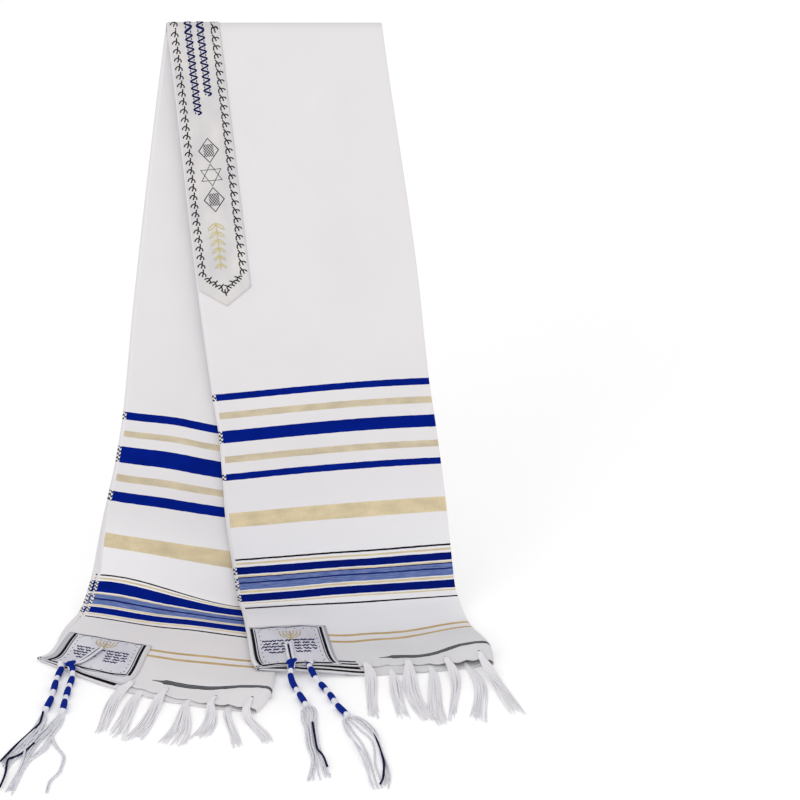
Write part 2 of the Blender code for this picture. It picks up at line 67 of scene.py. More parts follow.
# Lines across the cloth, named by `line`: `woven` is the distance from the cloth's middle, then
# come both ends' x, y and height over the floor. `bow` moves a line's middle forward. Between the
# shares of the width `drop_from` and `drop_to`, a line comes down from its left end's height to
# lie flat, and it swells again towards the lengthwise fold.
Row = namedtuple(
    "Row", "line woven left_x left_y left_h right_x right_y right_h bow drop_from drop_to"
)
FRONT_ROWS = (
    Row("neckband tip", 345, -89, -9, 413, 160, -10, 437, 0, 0, 0),
    Row("first blue", 482, -74, -11, 274, 174, -13, 297, 0, 0, 0),
    Row("wide blue", 532, -67, -12, 223, 181, -15, 247, 0, 0, 0),
    Row("wide gold", 638, -61, -13, 114, 194, -20, 141, 0, 0, 0),
    Row("first black", 687, -55, -15, 63, 199, -24, 90, 0, 0, 0),
    Row("second black", 758, -45, -32, 8.7, 207, -26, 24, 0, 0, 0),
    Row("gold pair", 822, -34.5, -106, 8.7, 220, -76, 6, 0, 0.22, 0.50),
    Row("grey line", 876, -28.5, -158, 8.7, 238, -130, 9.7, 0, 0.22, 0.50),
    Row("hem", 900, -22, -174, 8.7, 246, -156, 5, -5, 0.22, 0.50),
)
BACK_ROWS = (
    Row("neckband tip", 345, -163, 0, 386, 84, 3, 351, 0, 0, 0),
    Row("first blue", 482, -178, -6, 248, 66, -2, 203, 0, 0, 0),
    Row("wide blue", 532, -186, -8, 199, 57, -2, 152, 0, 0, 0),
    Row("wide gold", 638, -207, -14, 89, 34, -4, 40, 0, 0, 0),
    Row("first black", 687, -212, -18, 45, 14, -24, 2, 0, 0, 0.80),
    Row("second black", 758, -229, -47, 6, 6, -100, 2, 0, 0, 0.40),
    Row("gold pair", 822, -250, -92, 3.4, -1, -157, 2, 10, 0.30, 0.60),
    Row("grey line", 876, -265, -134, 3.4, -10, -224, 7, 15, 0.30, 0.60),
    Row("hem", 900, -276, -141, 3.4, -23, -261, 4, 14, 0.30, 0.60),
)
# `front` is -1 for the fall that hangs towards the viewer; `slip` and `overhang` are how far its
# hidden layer slides out past the hem and past the selvage
Fall = namedtuple("Fall", "front skew slip overhang rows")
FRONT = Fall(-1, FRONT_SKEW, 18.0, 0.0, FRONT_ROWS)
BACK = Fall(1, BACK_SKEW, 9.0, 7.0, BACK_ROWS)
HEM = CREST_ROWS + len(FRONT_ROWS) - 1.0


def smooth_step(low, high, value):
    if high <= low:
        return np.where(value >= high, 1.0, 0.0)
    share = np.clip((value - low) / (high - low), 0.0, 1.0)
    return share * share * (3 - 2 * share)


def monotone(knots, values, wanted):
    """A cubic through `values` at `knots` that never overshoots them, read at each `wanted`."""
    gaps = np.diff(knots)
    slopes = np.diff(values, axis=0) / gaps[:, None]
    tangents = np.zeros_like(values)
    tangents[0], tangents[-1] = slopes[0], slopes[-1]
    product, total = slopes[:-1] * slopes[1:], slopes[:-1] + slopes[1:]
    same_way = product > 0
    tangents[1:-1] = np.where(same_way, 2 * product / np.where(same_way, total, 1), 0)
    i = np.clip(np.searchsorted(knots, wanted, side="right") - 1, 0, len(gaps) - 1)
    s = ((wanted - knots[i]) / gaps[i])[:, None]
    span = gaps[i][:, None]
    rise = s * s * (3 - 2 * s)
    return (
        values[i] * (1 - rise)
        + values[i + 1] * rise
        + tangents[i] * span * s * (1 - s) ** 2
        - tangents[i + 1] * span * s * s * (1 - s)
    )


def column_rows(fall, u):
    """Woven distance, pattern distance, place and swelling of each row, at share `u` across."""
    crest_x = CREST_LEFT + (CREST_RIGHT - CREST_LEFT) * u
    drift = -fall.front * 2 * fall.skew / HALF
    woven, pattern, values = [], [], []
    for turn in range(CREST_ROWS):
        angle = math.pi / 2 * turn / (CREST_ROWS - 1)
        down = CREST_RADIUS * angle
        woven.append(-fall.front * (SHIFT + fall.skew * (2 * u - 1)) + down)
        pattern.append(-fall.front * (SHIFT + SKEW * (2 * u - 1)) + down)
        y = fall.front * CREST_RADIUS * math.sin(angle)
        values.append((crest_x + drift * down, y, CREST_RADIUS * math.cos(angle), 0.0))
    for row in fall.rows:
        woven.append(row.woven)
        pattern.append(row.woven)
        swell = 0.0
        if row.drop_to > 0:
            dropped = float(smooth_step(row.drop_from, row.drop_to, u))
            swollen = float(smooth_step(SWELL_FROM, 1.0, u))
            height = REST + (row.left_h - REST) * (1 - dropped) + (row.right_h - REST) * swollen
            swell = 2 * (row.right_h - REST) * swollen
        else:
            height = row.left_h + (row.right_h - row.left_h) * u
        x = row.left_x + (row.right_x - row.left_x) * u
        y = row.left_y + (row.right_y - row.left_y) * u - row.bow * math.sin(math.pi * u)
        values.append((x, y, height - DROP, swell))
    return np.array(woven, float), np.array(pattern, float), np.array(values)


def middle(fall, u, rows):
    """Point and swelling halfway between the layers at each of the row numbers `rows`."""
    woven, _, values = column_rows(fall, u)
    i = np.clip(rows.astype(int), 0, len(woven) - 2)
    wanted = woven[i] + (woven[i + 1] - woven[i]) * (rows - i)
    found = monotone(woven, values, wanted)
    return found[:, :3], found[:, 3]


def unit(vectors):
    return vectors / np.linalg.norm(vectors, axis=-1, keepdims=True)


def walked_along(points):
    """The distance from the first point to each one, by way of those between."""
    return np.concatenate([[0], np.cumsum(np.linalg.norm(np.diff(points, axis=0), axis=1))])


# the steps in share and in row that slopes are measured over
NEAR_SHARE, NEAR_ROW = 0.01, 0.02


def fall_frame(fall, shares, rows):
    """Middle points, outward normals, downward directions and gaps, for each share and row."""
    points, normals, alongs, gaps = [], [], [], []
    for u in shares:
        point, swell = middle(fall, u, rows)
        u0, u1 = max(u - NEAR_SHARE, 0.0), min(u + NEAR_SHARE, 1.0)
        across = middle(fall, u1, rows)[0] - middle(fall, u0, rows)[0]
        t0, t1 = np.maximum(rows - NEAR_ROW, 0), np.minimum(rows + NEAR_ROW, HEM)
        along = unit(middle(fall, u, t1)[0] - middle(fall, u, t0)[0])
        normal = unit(np.cross(across, along) * fall.front)
        top = rows == 0
        normal[top], along[top] = (0, 0, 1), (0, fall.front, 0)
        points.append(point)
        normals.append(normal)
        alongs.append(along)
        gaps.append(LAYER_GAP + swell)
    return np.array(points), np.array(normals), np.array(alongs), np.array(gaps)


def pattern_at(fall, shares, rows):
    """The distance from the cloth's middle that the woven pattern sees, for each share and row."""
    found = []
    for u in shares:
        knots = column_rows(fall, u)[1]
        found.append(np.interp(rows, np.arange(len(knots)), knots))
    return np.array(found)


# ---------------------------------------------------------------------------------------------
# Soft creases: each is a ridge or a trough along a line on the cloth, whose ends are given by
# share of the width and by distance from the cloth's middle

Crease = namedtuple("Crease", "u0 w0 u1 w1 width height")
FRONT_CREASES = (
    Crease(0.05, 60, 0.30, 420, 60, 0.8),
    Crease(0.75, 40, 0.95, 500, 70, -0.9),
    Crease(0.40, 120, 0.62, 640, 90, 0.7),
    Crease(0.20, 560, 0.55, 700, 40, -0.7),
    Crease(0.55, 640, 0.85, 820, 34, 1.0),
    Crease(0.42, 770, 0.70, 890, 20, 1.1),
    Crease(0.70, 830, 0.97, 850, 12, 1.4),
    Crease(0.84, 860, 0.99, 905, 11, 1.5),
    Crease(0.52, 850, 0.66, 905, 13, 1.2),
    Crease(0.175, 868, 0.14, 905, 7, 1.3),
)
BACK_CREASES = (
    Crease(0.15, 50, 0.40, 460, 70, -0.8),
    Crease(0.65, 90, 0.80, 520, 80, 0.8),
    Crease(0.10, 520, 0.35, 680, 45, 0.9),
    Crease(0.45, 700, 0.75, 860, 30, 1.0),
    Crease(0.55, 850, 0.95, 880, 13, 1.4),
    Crease(0.47, 840, 0.60, 905, 12, 1.3),
    Crease(0.75, 700, 0.98, 800, 24, -0.8),
    Crease(0.20, 862, 0.155, 905, 8, 2.0),
)

# The locks of the fringe. Each comes through the hem at `u`, a share of the width, and lies on
# the floor, where its tips run from left to right.
Lock = namedtuple("Lock", "layer u left right bow yarns")
FRONT_LOCKS = (
    Lock("upper", 0.47, (106.5, -268), (120.5, -272), -1.5, 9),
    Lock("lower", 0.555, (138, -268), (156, -279), -3.0, 9),
    Lock("upper", 0.65, (163, -273), (189, -286), -9.0, 15),
    Lock("lower", 0.735, (176, -283), (197, -287), -4.0, 12),
    Lock("upper", 0.82, (196, -276), (207, -274), 2.5, 8),
    Lock("lower", 0.90, (221, -277), (240, -279), 6.0, 11),
    Lock("upper", 0.965, (266, -261), (284, -260), 3.0, 8),
)
BACK_LOCKS = (
    Lock("upper", 0.425, (-203, -305), (-188, -301), -3.0, 9),
    Lock("lower", 0.49, (-189, -309), (-167, -319), 2.0, 9),
    Lock("upper", 0.58, (-170, -320), (-147, -319), 4.5, 12),
    Lock("lower", 0.70, (-131, -324), (-97, -335), 6.5, 15),
    Lock("upper", 0.80, (-96, -316), (-72, -316), 8.0, 12),
    Lock("lower", 0.885, (-47, -338), (-34, -333), 2.0, 8),
    Lock("upper", 0.965, (-13, -327), (3, -326), 2.0, 12),
)


def gathered(fall, shares, width):
    """How close each share of the width is to a lock's eyelet, from 0 to 1."""
    locks = FRONT_LOCKS if fall is FRONT else BACK_LOCKS
    near = [np.exp(-(((shares - lock.u) * HALF / width) ** 2)) for lock in locks]
    return np.max(near, axis=0)[:, None]


def creased(creases, shares, pattern):
    """How far the cloth stands off its smooth form, in millimetres, outward positive."""
    across = shares[:, None] * HALF + 0 * pattern
    rise = 0 * pattern
    for crease in creases:
        a = np.array([crease.u0 * HALF, crease.w0])
        b = np.array([crease.u1 * HALF, crease.w1])
        d = b - a
        s = ((across - a[0]) * d[0] + (pattern - a[1]) * d[1]) / (d @ d)
        off = np.hypot(across - a[0] - s * d[0], pattern - a[1] - s * d[1])
        fade = smooth_step(-0.3, 0.25, s) * (1 - smooth_step(0.75, 1.3, s))
        rise += crease.height * np.exp(-((off / crease.width) ** 2)) * fade
    return rise


# ---------------------------------------------------------------------------------------------
# Both layers of both falls as grids of points, which everything on the cloth is laid on

SHARES = np.concatenate([np.linspace(0, 0.9, 46), np.linspace(0.915, 1.0, 8)])
ROW_STEPS = (4, 4, 34, 18, 7, 13, 7, 16, 16, 12, 10)  # stations in each step between two rows
ROWS = np.concatenate(
    [[0.0]] + [i + np.arange(1, n + 1) / n for i, n in enumerate(ROW_STEPS)]
)
THICK = 0.8  # the woven cloth
TURN_POINTS = 5
# Each eyelet draws the hem up, and a small pucker runs down to it
DRAWN_UP, DRAWN_WIDTH, DRAWN_ROWS = 2.4, 8.0, 0.8
PUCKER, PUCKER_WIDTH, PUCKER_FROM, PUCKER_TO = 1.5, 3.2, 868.0, 897.0
# the rows over which the overhang grows and ends, creases begin, and the cloth comes to lie flat
OVERHANG_GROWS, OVERHANG_ENDS = (5.0, 7.6), (8.4, 9.6)
CREASES_BEGIN, LIES_DOWN = (0.5, 3.2), (HEM - 3.5, HEM - 2.5)


def face_grid(fall, layer, creases):
    """Points in the middle of one layer's thickness, and its pattern distances."""
    points, normals, alongs, gaps = fall_frame(fall, SHARES, ROWS)
    pattern = pattern_at(fall, SHARES, ROWS)
    if layer * fall.front > 0:
        slid = fall.slip * np.sin(math.pi * SHARES**SLIP_LEAN)[:, None]
        slid = slid * smooth_step(HEM - 2, HEM, ROWS)[None]
        points += alongs * slid[..., None]
        # the hidden layer's selvage stands out past the other one's
        outward = unit(points[0] - points[2])[None] * ((1 - SHARES) ** 3)[:, None, None]
        shown_for = smooth_step(*OVERHANG_GROWS, ROWS) * (1 - smooth_step(*OVERHANG_ENDS, ROWS))
        points += outward * (fall.overhang * shown_for)[None, :, None]
    drawn = DRAWN_UP * gathered(fall, SHARES, DRAWN_WIDTH)
    drawn = drawn * smooth_step(HEM - DRAWN_ROWS, HEM, ROWS)
    points -= alongs * drawn[..., None]
    rise = creased(creases, SHARES, pattern) * smooth_step(*CREASES_BEGIN, ROWS)[None]
    pucker = PUCKER * gathered(fall, SHARES, PUCKER_WIDTH)
    rise += pucker * smooth_step(PUCKER_FROM, PUCKER_TO, pattern)
    # where the cloth lies on the floor it has ridges and no troughs
    lying = smooth_step(*LIES_DOWN, ROWS)[None]
    rise = np.where(rise < 0, rise * (1 - lying), rise)
    out = layer * (gaps / 2 + WALL / 2) - fall.front * rise
    return points + normals * out[..., None], pattern


def joined_grid(layer):
    """One layer from the front hem over the rod to the back hem: points and signed pattern."""
    front, front_pattern = face_grid(FRONT, layer, FRONT_CREASES)
    back, back_pattern = face_grid(BACK, layer, BACK_CREASES)
    points = np.concatenate([front[:, ::-1], back[:, 1:]], axis=1)
    pattern = np.concatenate([front_pattern[:, ::-1], -back_pattern[:, 1:]], axis=1)
    return points, pattern


OUTER, INNER = joined_grid(1), joined_grid(-1)


def turned_edge():
    """Points round the lengthwise fold, from the outer layer's edge to the inner one's."""
    outer, inner = OUTER[0][-1], INNER[0][-1]
    inward = unit(OUTER[0][-1] - OUTER[0][-4])
    half = (outer - inner) / 2
    radius = np.linalg.norm(half, axis=1)[:, None]
    centre = (outer + inner) / 2
    rings = []
    for k in range(1, TURN_POINTS + 1):
        angle = math.pi * k / (TURN_POINTS + 1)
        rings.append(centre + half * math.cos(angle) + inward * radius * math.sin(angle))
    return np.array(rings)


def grid_mesh(name, points, uvs, look, thick=0.0, close=False):
    """A sheet from a grid of points in millimetres and of UVs in metres."""
    long_way, short_way = points.shape[:2]
    bm = bmesh.new()
    bmesh.ops.create_grid(bm, x_segments=long_way - 1, y_segments=short_way - 1, size=1)
    layer = bm.loops.layers.uv.new("UVMap")
    places = {}
    for vert in bm.verts:
        i = round((vert.co.x + 1) / 2 * (long_way - 1))
        j = round((vert.co.y + 1) / 2 * (short_way - 1))
        places[vert] = (i, j)
    for face in bm.faces:
        for loop in face.loops:
            loop[layer].uv = uvs[places[loop.vert]]
    for vert, (i, j) in places.items():
        vert.co = points[i, j] * MM
    if close:
        bmesh.ops.remove_doubles(bm, verts=bm.verts, dist=0.02 * MM)
    return finished(name, bm, look, thick)


def swept(name, routes, radius, roundness, taper=0.0, loops=False):
    """A round section swept along each route, thinner to the ends, or closed into loops."""
    curve = bpy.data.curves.new(name, "CURVE")
    curve.dimensions = "3D"
    curve.bevel_depth = radius
    curve.bevel_resolution = roundness
    curve.use_fill_caps = True
    for route in routes:
        count = len(route)
        spline = curve.splines.new("POLY")
        spline.points.add(count - 1)
        spline.points.foreach_set("co", np.c_[route, np.ones(count)].ravel())
        spline.points.foreach_set("radius", 1 - taper * np.linspace(0, 1, count) ** 3)
        spline.use_cyclic_u = loops
    holder = bpy.data.objects.new(name, curve)
    mesh = bpy.data.meshes.new_from_object(holder)
    bpy.data.objects.remove(holder)
    return mesh


def finished(name, bm, look, thick=0.0):
    mesh = bpy.data.meshes.new(name)
    bm.to_mesh(mesh)
    bm.free()
    return shown(name, mesh, look, thick)


def shown(name, mesh, look, thick=0.0):
    mesh.materials.clear()
    mesh.materials.append(look)
    mesh.shade_smooth()
    piece = bpy.data.objects.new(name, mesh)
    bpy.context.scene.collection.objects.link(piece)
    if thick:
        wall = piece.modifiers.new("Wall", "SOLIDIFY")
        wall.thickness = thick * MM
        wall.offset = 0
    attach(piece, "root")
    return piece


# ---------------------------------------------------------------------------------------------
# Places on the cloth


class Face:
    """One layer's face, read at any share of the width and signed pattern distance."""

    def __init__(self, points, pattern, up):
        self.points = points
        self.pattern = pattern
        across = np.gradient(points, axis=0)
        along = np.gradient(points, axis=1)
        self.normals = unit(np.cross(across, along)) * up

    def row_of(self, u, signed):
        """The row, at each share of the width, that lies at a signed pattern distance."""
        i = np.interp(u, SHARES, np.arange(len(SHARES)))
        i0 = np.minimum(i.astype(int), len(SHARES) - 2)
        rows = np.arange(self.pattern.shape[1])
        found = np.empty(len(u))
        for k, (low, value) in enumerate(zip(i0, signed)):
            part = i[k] - low
            knots = self.pattern[low] * (1 - part) + self.pattern[low + 1] * part
            found[k] = np.interp(-value, -knots, rows)
        return found

    def at_row(self, u, row, lift):
        """Points that stand `lift` off the face."""
        i = np.interp(u, SHARES, np.arange(len(SHARES)))
        i0 = np.clip(i.astype(int), 0, len(SHARES) - 2)
        j0 = np.clip(row.astype(int), 0, self.points.shape[1] - 2)
        a, b = (i - i0)[:, None], (row - j0)[:, None]

        def read(grid):
            near = grid[i0, j0] * (1 - a) + grid[i0 + 1, j0] * a
            far = grid[i0, j0 + 1] * (1 - a) + grid[i0 + 1, j0 + 1] * a
            return near * (1 - b) + far * b

        return read(self.points) + unit(read(self.normals)) * np.reshape(lift, (-1, 1))

    def at(self, u, signed, lift):
        return self.at_row(u, self.row_of(u, signed), lift)


OUTER_FACE = Face(*OUTER, 1)
INNER_FACE = Face(*INNER, -1)

# ---------------------------------------------------------------------------------------------
# Materials


def linear(text, alpha=1.0):
    """An sRGB hex colour as a linear one."""
    parts = [int(text[i : i + 2], 16) / 255 for i in (1, 3, 5)]
    return [c / 12.92 if c <= 0.04045 else ((c + 0.055) / 1.055) ** 2.4 for c in parts] + [alpha]


def wire(look, made, inputs):
    """Sets each input to a value, or links it from a socket or from a node's first live output."""
    for key, value in inputs.items() if isinstance(inputs, dict) else enumerate(inputs):
        if isinstance(value, bpy.types.Node):
            value = next(output for output in value.outputs if output.enabled)
        if isinstance(value, bpy.types.NodeSocket):
            look.node_tree.links.new(value, made.inputs[key])
        else:
            made.inputs[key].default_value = value


def node(look, kind, inputs=(), **settings):
    """A new shader node with its settings and links."""
    made = look.node_tree.nodes.new("ShaderNode" + kind)
    for key, value in settings.items():
        setattr(made, key, value)
    wire(look, made, inputs)
    return made


def new_look(name, colour, roughness, **inputs):
    look = bpy.data.materials.new(name)
    look.use_nodes = True
    inputs = {key.replace("_", " "): value for key, value in inputs.items()}
    dress(look, {"Base Color": linear(colour), "Roughness": roughness, **inputs})
    return look


def dress(look, inputs):
    wire(look, look.node_tree.nodes["Principled BSDF"], inputs)


def flat_places(look):
    """Millimetres on a piece as it was cut, from its own UV map: as a vector, across and along."""
    uv = node(look, "TexCoord").outputs["UV"]
    place = node(look, "VectorMath", {0: uv, "Scale": 1000.0}, operation="SCALE")
    parts = node(look, "SeparateXYZ", (place,))
    return place, parts.outputs[0], parts.outputs[1]


def speckle(look, place, wide, long, detail=2.0):
    """Soft noise whose grains are so many millimetres wide and long."""
    spread = node(look, "VectorMath", (place, (wide, long, 1.0)), operation="DIVIDE")
    return node(look, "TexNoise", {"Vector": spread, "Scale": 1.0, "Detail": detail})


def repeats(look, distance, pitch):
    """A wave between -1 and 1 that comes back every `pitch` millimetres."""
    turns = node(look, "Math", (distance, 2 * math.pi / pitch), operation="MULTIPLY")
    return node(look, "Math", (turns,), operation="SINE")


# The woven stripes: from and to, in millimetres from the middle of the cloth, and the thread
Stripe = namedtuple("Stripe", "start end thread")
FRONT_BORDER = (
    Stripe(477.2, 485.9, "royal"),
    Stripe(500.4, 508.8, "champagne"),
    Stripe(523.8, 539.3, "royal"),
    Stripe(555.9, 564.3, "champagne"),
    Stripe(578.6, 587.0, "royal"),
    Stripe(628.6, 647.0, "gold"),
)
# the back end is woven with wider royal stripes
BACK_BORDER = (
    Stripe(475.2, 485.6, "royal"),
    Stripe(499.2, 507.6, "champagne"),
    Stripe(520.2, 540.2, "royal"),
    Stripe(554.8, 563.2, "champagne"),
    Stripe(575.4, 587.2, "royal"),
    Stripe(626.4, 646.0, "gold"),
)
FRONT_END = (
    Stripe(686.0, 688.7, "black"),
    Stripe(691.4, 694.2, "gold"),
    Stripe(697.0, 706.4, "deep royal"),
    Stripe(707.4, 709.2, "gold"),
    Stripe(709.2, 710.4, "navy"),
    Stripe(710.4, 715.4, "heather"),
    Stripe(715.4, 717.4, "navy"),
    Stripe(717.4, 725.4, "heather"),
    Stripe(726.6, 729.4, "gold"),
    Stripe(731.2, 743.6, "deep royal"),
    Stripe(745.6, 748.4, "gold"),
    Stripe(762.0, 765.6, "black"),
    Stripe(813.8, 818.0, "tan"),
    Stripe(827.6, 832.0, "tan"),
)
BACK_END = (
    Stripe(685.8, 688.4, "black"),
    Stripe(691.6, 694.6, "gold"),
    Stripe(697.0, 713.6, "royal"),
    Stripe(714.8, 716.6, "gold"),
    Stripe(716.6, 722.6, "heather"),
    Stripe(722.6, 724.8, "navy"),
    Stripe(724.8, 732.0, "heather"),
    Stripe(732.6, 735.0, "gold"),
    Stripe(736.4, 748.0, "royal"),
    Stripe(750.0, 752.8, "gold"),
    Stripe(758.0, 761.4, "black"),
    Stripe(814.4, 818.6, "tan"),
    Stripe(827.0, 831.4, "tan"),
)
GREY_LINE = (
    Stripe(871.4, 873.2, "graphite"),
    Stripe(873.2, 875.0, "grey"),
    Stripe(875.0, 876.4, "graphite"),
    Stripe(876.4, 877.8, "grey"),
    Stripe(877.8, 879.8, "graphite"),
)
GREY_MIDDLE = 875.6
# sewn lines that show under the corner patches, widened and darkened as painted shadow of the gap
# under the patches' edges
HEM_LINES_AND_GAP_SHADOW = (
    Stripe(880.6, 885.4, "black"),
    Stripe(889.8, 895.4, "black"),
)
THREADS = {
    "royal": "#001A7D",
    "deep royal": "#02156C",
    "gold": "#D7C7A4",
    "champagne": "#C9BCA2",
    "black": "#1A1722",
    "heather": "#566AA4",
    "navy": "#1A2668",
    "tan": "#BFA575",
    "graphite": "#3F4146",
    "grey": "#6F7176",
}
LUREX, HEATHER, ROYAL, PLAIN = (1, 0, 0, 1), (0, 1, 0, 1), (0, 0, 1, 1), (0, 0, 0, 1)
KINDS = {
    "gold": LUREX,
    "champagne": LUREX,
    "heather": HEATHER,
    "royal": ROYAL,
    "deep royal": ROYAL,
}


def stripe_ramp(look, along, stripes, shade):
    """Hard-edged bands along the cloth, each shaded by its thread; the ground has no alpha."""
    start, end = stripes[0].start - 5, stripes[-1].end + 5
    ramp = node(look, "ValToRGB", (node(look, "MapRange", (along, start, end)),))
    ramp.color_ramp.interpolation = "CONSTANT"
    stops = {0.0: (0, 0, 0, 0)}
    for stripe in stripes:
        stops[(stripe.start - start) / (end - start)] = shade(stripe.thread)
        stops[(stripe.end - start) / (end - start)] = (0, 0, 0, 0)
    elements = ramp.color_ramp.elements
    elements.remove(elements[1])
    for place, colour in stops.items():
        spot = elements[0] if place == 0 else elements.new(place)
        spot.color = colour
    return ramp


# The grey line starts this far from the selvage, and further from it in front. It is so many
# times thinner than GREY_LINE: at its point, where it is full, and by the lengthwise fold.
LINE_START, LINE_START_IN_FRONT = 121.0, 16.0
LINE_POINT, LINE_FULL, LINE_THIN = 5.0, 0.95, 2.1
LINE_FILLS, LINE_NARROWS = (0.0, 14.0), (20.0, 126.0)  # from its start
# the sewn lines and their painted shadow reach this far from the selvage, and further in front
HEM_LINES_REACH, HEM_LINES_REACH_IN_FRONT = 93.0, 17.0
# lurex ribs run along the cloth, drawn as painted glint
RIB_PITCH = 1.9
# Painted light and shade on the ground, by distance from the cloth's middle: the paler tones are
# painted light on the lower falls, the greyer ones painted shade where the ends lie low. The whole
# of each shade is reached at `end`, on one fall only
Shade = namedtuple("Shade", "start end front colour")
PAINTED_GROUND_LIGHT_AND_SHADE = (
    Shade(560.0, 700.0, True, "#E9E8EB"),
    Shade(580.0, 660.0, False, "#F3F1F2"),
    Shade(710.0, 780.0, False, "#E1DEE0"),
    Shade(790.0, 850.0, True, "#D8D7D9"),
)
SELVAGE_WIDTH, FLOAT_PITCH, FLOAT_SLANT = 4.4, 5.0, 1.9
CORNER_FROM = 893.0  # past this the selvage has floats all along
# painted shade along the fold where the cloth turns back over the rod: its y, half its width and
# least height
FOLD_SHADE_Y, FOLD_SHADE_HALF, FOLD_SHADE_OVER = 2.2, 1.6, 2.0
# twill lines are 0.3 mm apart in the real cloth, and drawn further apart so that they show
TWILL_PITCH = 1.6


def stripes_of(look, along, from_edge, in_front, behind):
    """The colour of every stripe, what kind of thread it is, and where there is one."""
    start = (in_front, LINE_START_IN_FRONT, LINE_START)
    start = node(look, "Math", start, operation="MULTIPLY_ADD")
    from_start = node(look, "Math", (from_edge, start), operation="SUBTRACT")
    beside = node(look, "Math", (from_start, 0.0), operation="GREATER_THAN")
    point = node(look, "MapRange", (from_start, *LINE_FILLS, LINE_POINT, LINE_FULL))
    narrowing = node(look, "MapRange", (from_start, *LINE_NARROWS, LINE_FULL, LINE_THIN))
    narrowing = node(look, "Math", (point, narrowing), operation="MAXIMUM")
    around = node(look, "Math", (along, GREY_MIDDLE), operation="SUBTRACT")
    by_line = node(look, "Math", (around, narrowing, GREY_MIDDLE), operation="MULTIPLY_ADD")
    reach = (in_front, HEM_LINES_REACH_IN_FRONT, HEM_LINES_REACH)
    reach = node(look, "Math", reach, operation="MULTIPLY_ADD")
    by_patch = node(look, "Math", (from_edge, reach), operation="LESS_THAN")
    colour, kinds, striped = linear("#000000"), PLAIN, 0.0
    for stripes, distance, where in (
        (FRONT_BORDER, along, in_front),
        (BACK_BORDER, along, behind),
        (FRONT_END, along, in_front),
        (BACK_END, along, behind),
        (GREY_LINE, by_line, beside),
        (HEM_LINES_AND_GAP_SHADOW, along, by_patch),
    ):
        threads = stripe_ramp(look, distance, stripes, lambda thread: linear(THREADS[thread]))
        marks = stripe_ramp(look, distance, stripes, lambda thread: KINDS.get(thread, PLAIN))
        share = node(look, "Math", (threads.outputs["Alpha"], where), operation="MULTIPLY")
        colour = node(look, "Mix", {0: share, 6: colour, 7: threads}, data_type="RGBA")
        kinds = node(look, "Mix", {0: share, 6: kinds, 7: marks}, data_type="RGBA")
        striped = node(look, "Math", (striped, share), operation="MAXIMUM")
    return colour, node(look, "SeparateColor", (kinds,)).outputs, striped


def threads_of(look, place, across, colour, lurex, heather):
    """Stripes with their lurex ribs, a painted glint in patches, and the flecks of the heather."""
    patches = speckle(look, place, 26, 14)
    # the ribs brighten and darken the lurex stripes' colour in patches: painted glint
    ribs = repeats(look, across, RIB_PITCH)
    ribs = node(look, "Math", (ribs, lurex), operation="MULTIPLY")
    ribs = node(look, "Math", (ribs, patches), operation="MULTIPLY")
    cloudy = node(look, "MapRange", (patches, 0.3, 0.7, 0.88, 1.12))
    glint_and_tone = node(look, "Math", (ribs, 0.22, cloudy), operation="MULTIPLY_ADD")
    colour = node(look, "VectorMath", {0: colour, "Scale": glint_and_tone}, operation="SCALE")
    # blue and white yarns twisted together
    flecks = speckle(look, place, 14, 1.1, 3.0)
    flecks = node(look, "MapRange", (flecks, 0.42, 0.62, 0.0, 0.28))
    flecks = node(look, "Math", (flecks, heather), operation="MULTIPLY")
    return node(look, "Mix", {0: flecks, 6: colour, 7: linear("#A9B6DA")}, data_type="RGBA")


def ground_of(look, place, along, in_front, behind):
    """The clouded white ground: paler above the end borders with painted light, greyer by the hems
    with painted shade.
    """
    white = {0: speckle(look, place, 70, 90), 6: linear("#DEDBDD"), 7: linear("#E5E2E4")}
    white = node(look, "Mix", white, data_type="RGBA")
    # each of these tones is painted light or painted shade, not a colour of the cloth
    for shade in PAINTED_GROUND_LIGHT_AND_SHADE:
        reached = (along, shade.start, shade.end)
        reached = node(look, "MapRange", reached, interpolation_type="SMOOTHSTEP")
        where = in_front if shade.front else behind
        reached = node(look, "Math", (reached, where), operation="MULTIPLY")
        white = {0: reached, 6: white, 7: linear(shade.colour)}
        white = node(look, "Mix", white, data_type="RGBA")
    return white


def selvage_of(look, along, from_edge, royal, heather):
    """The white selvage, with dark floats where the blue weft turns back: its place and colour."""
    selvage = node(look, "Math", (from_edge, SELVAGE_WIDTH), operation="LESS_THAN")
    slant = repeats(look, from_edge, SELVAGE_WIDTH)
    slant = node(look, "Math", (slant, FLOAT_SLANT), operation="MULTIPLY")
    turns = node(look, "Math", (along, 2 * math.pi / FLOAT_PITCH, slant), operation="MULTIPLY_ADD")
    floats = node(look, "Math", (turns,), operation="SINE")
    floats = node(look, "Math", (floats, 0.0), operation="GREATER_THAN")
    corner = node(look, "Math", (along, CORNER_FROM), operation="GREATER_THAN")
    dyed = node(look, "Math", (royal, heather), operation="MAXIMUM")
    dyed = node(look, "Math", (dyed, corner), operation="MAXIMUM")
    floats = node(look, "Math", (floats, dyed), operation="MULTIPLY")
    edge = {0: floats, 6: linear("#E4E2E4"), 7: linear("#1A1B33")}
    return selvage, node(look, "Mix", edge, data_type="RGBA")


def painted_fold_shade(look):
    """Painted shade along the fold, where the cloth turns over the rod."""
    parts = node(look, "SeparateXYZ", (node(look, "TexCoord").outputs["Object"],))
    past = (parts.outputs[1], FOLD_SHADE_Y * MM, FOLD_SHADE_HALF * MM)
    past = node(look, "Math", past, operation="COMPARE")
    over = node(look, "Math", (parts.outputs[2], FOLD_SHADE_OVER * MM), operation="GREATER_THAN")
    return node(look, "Math", (past, over), operation="MULTIPLY")


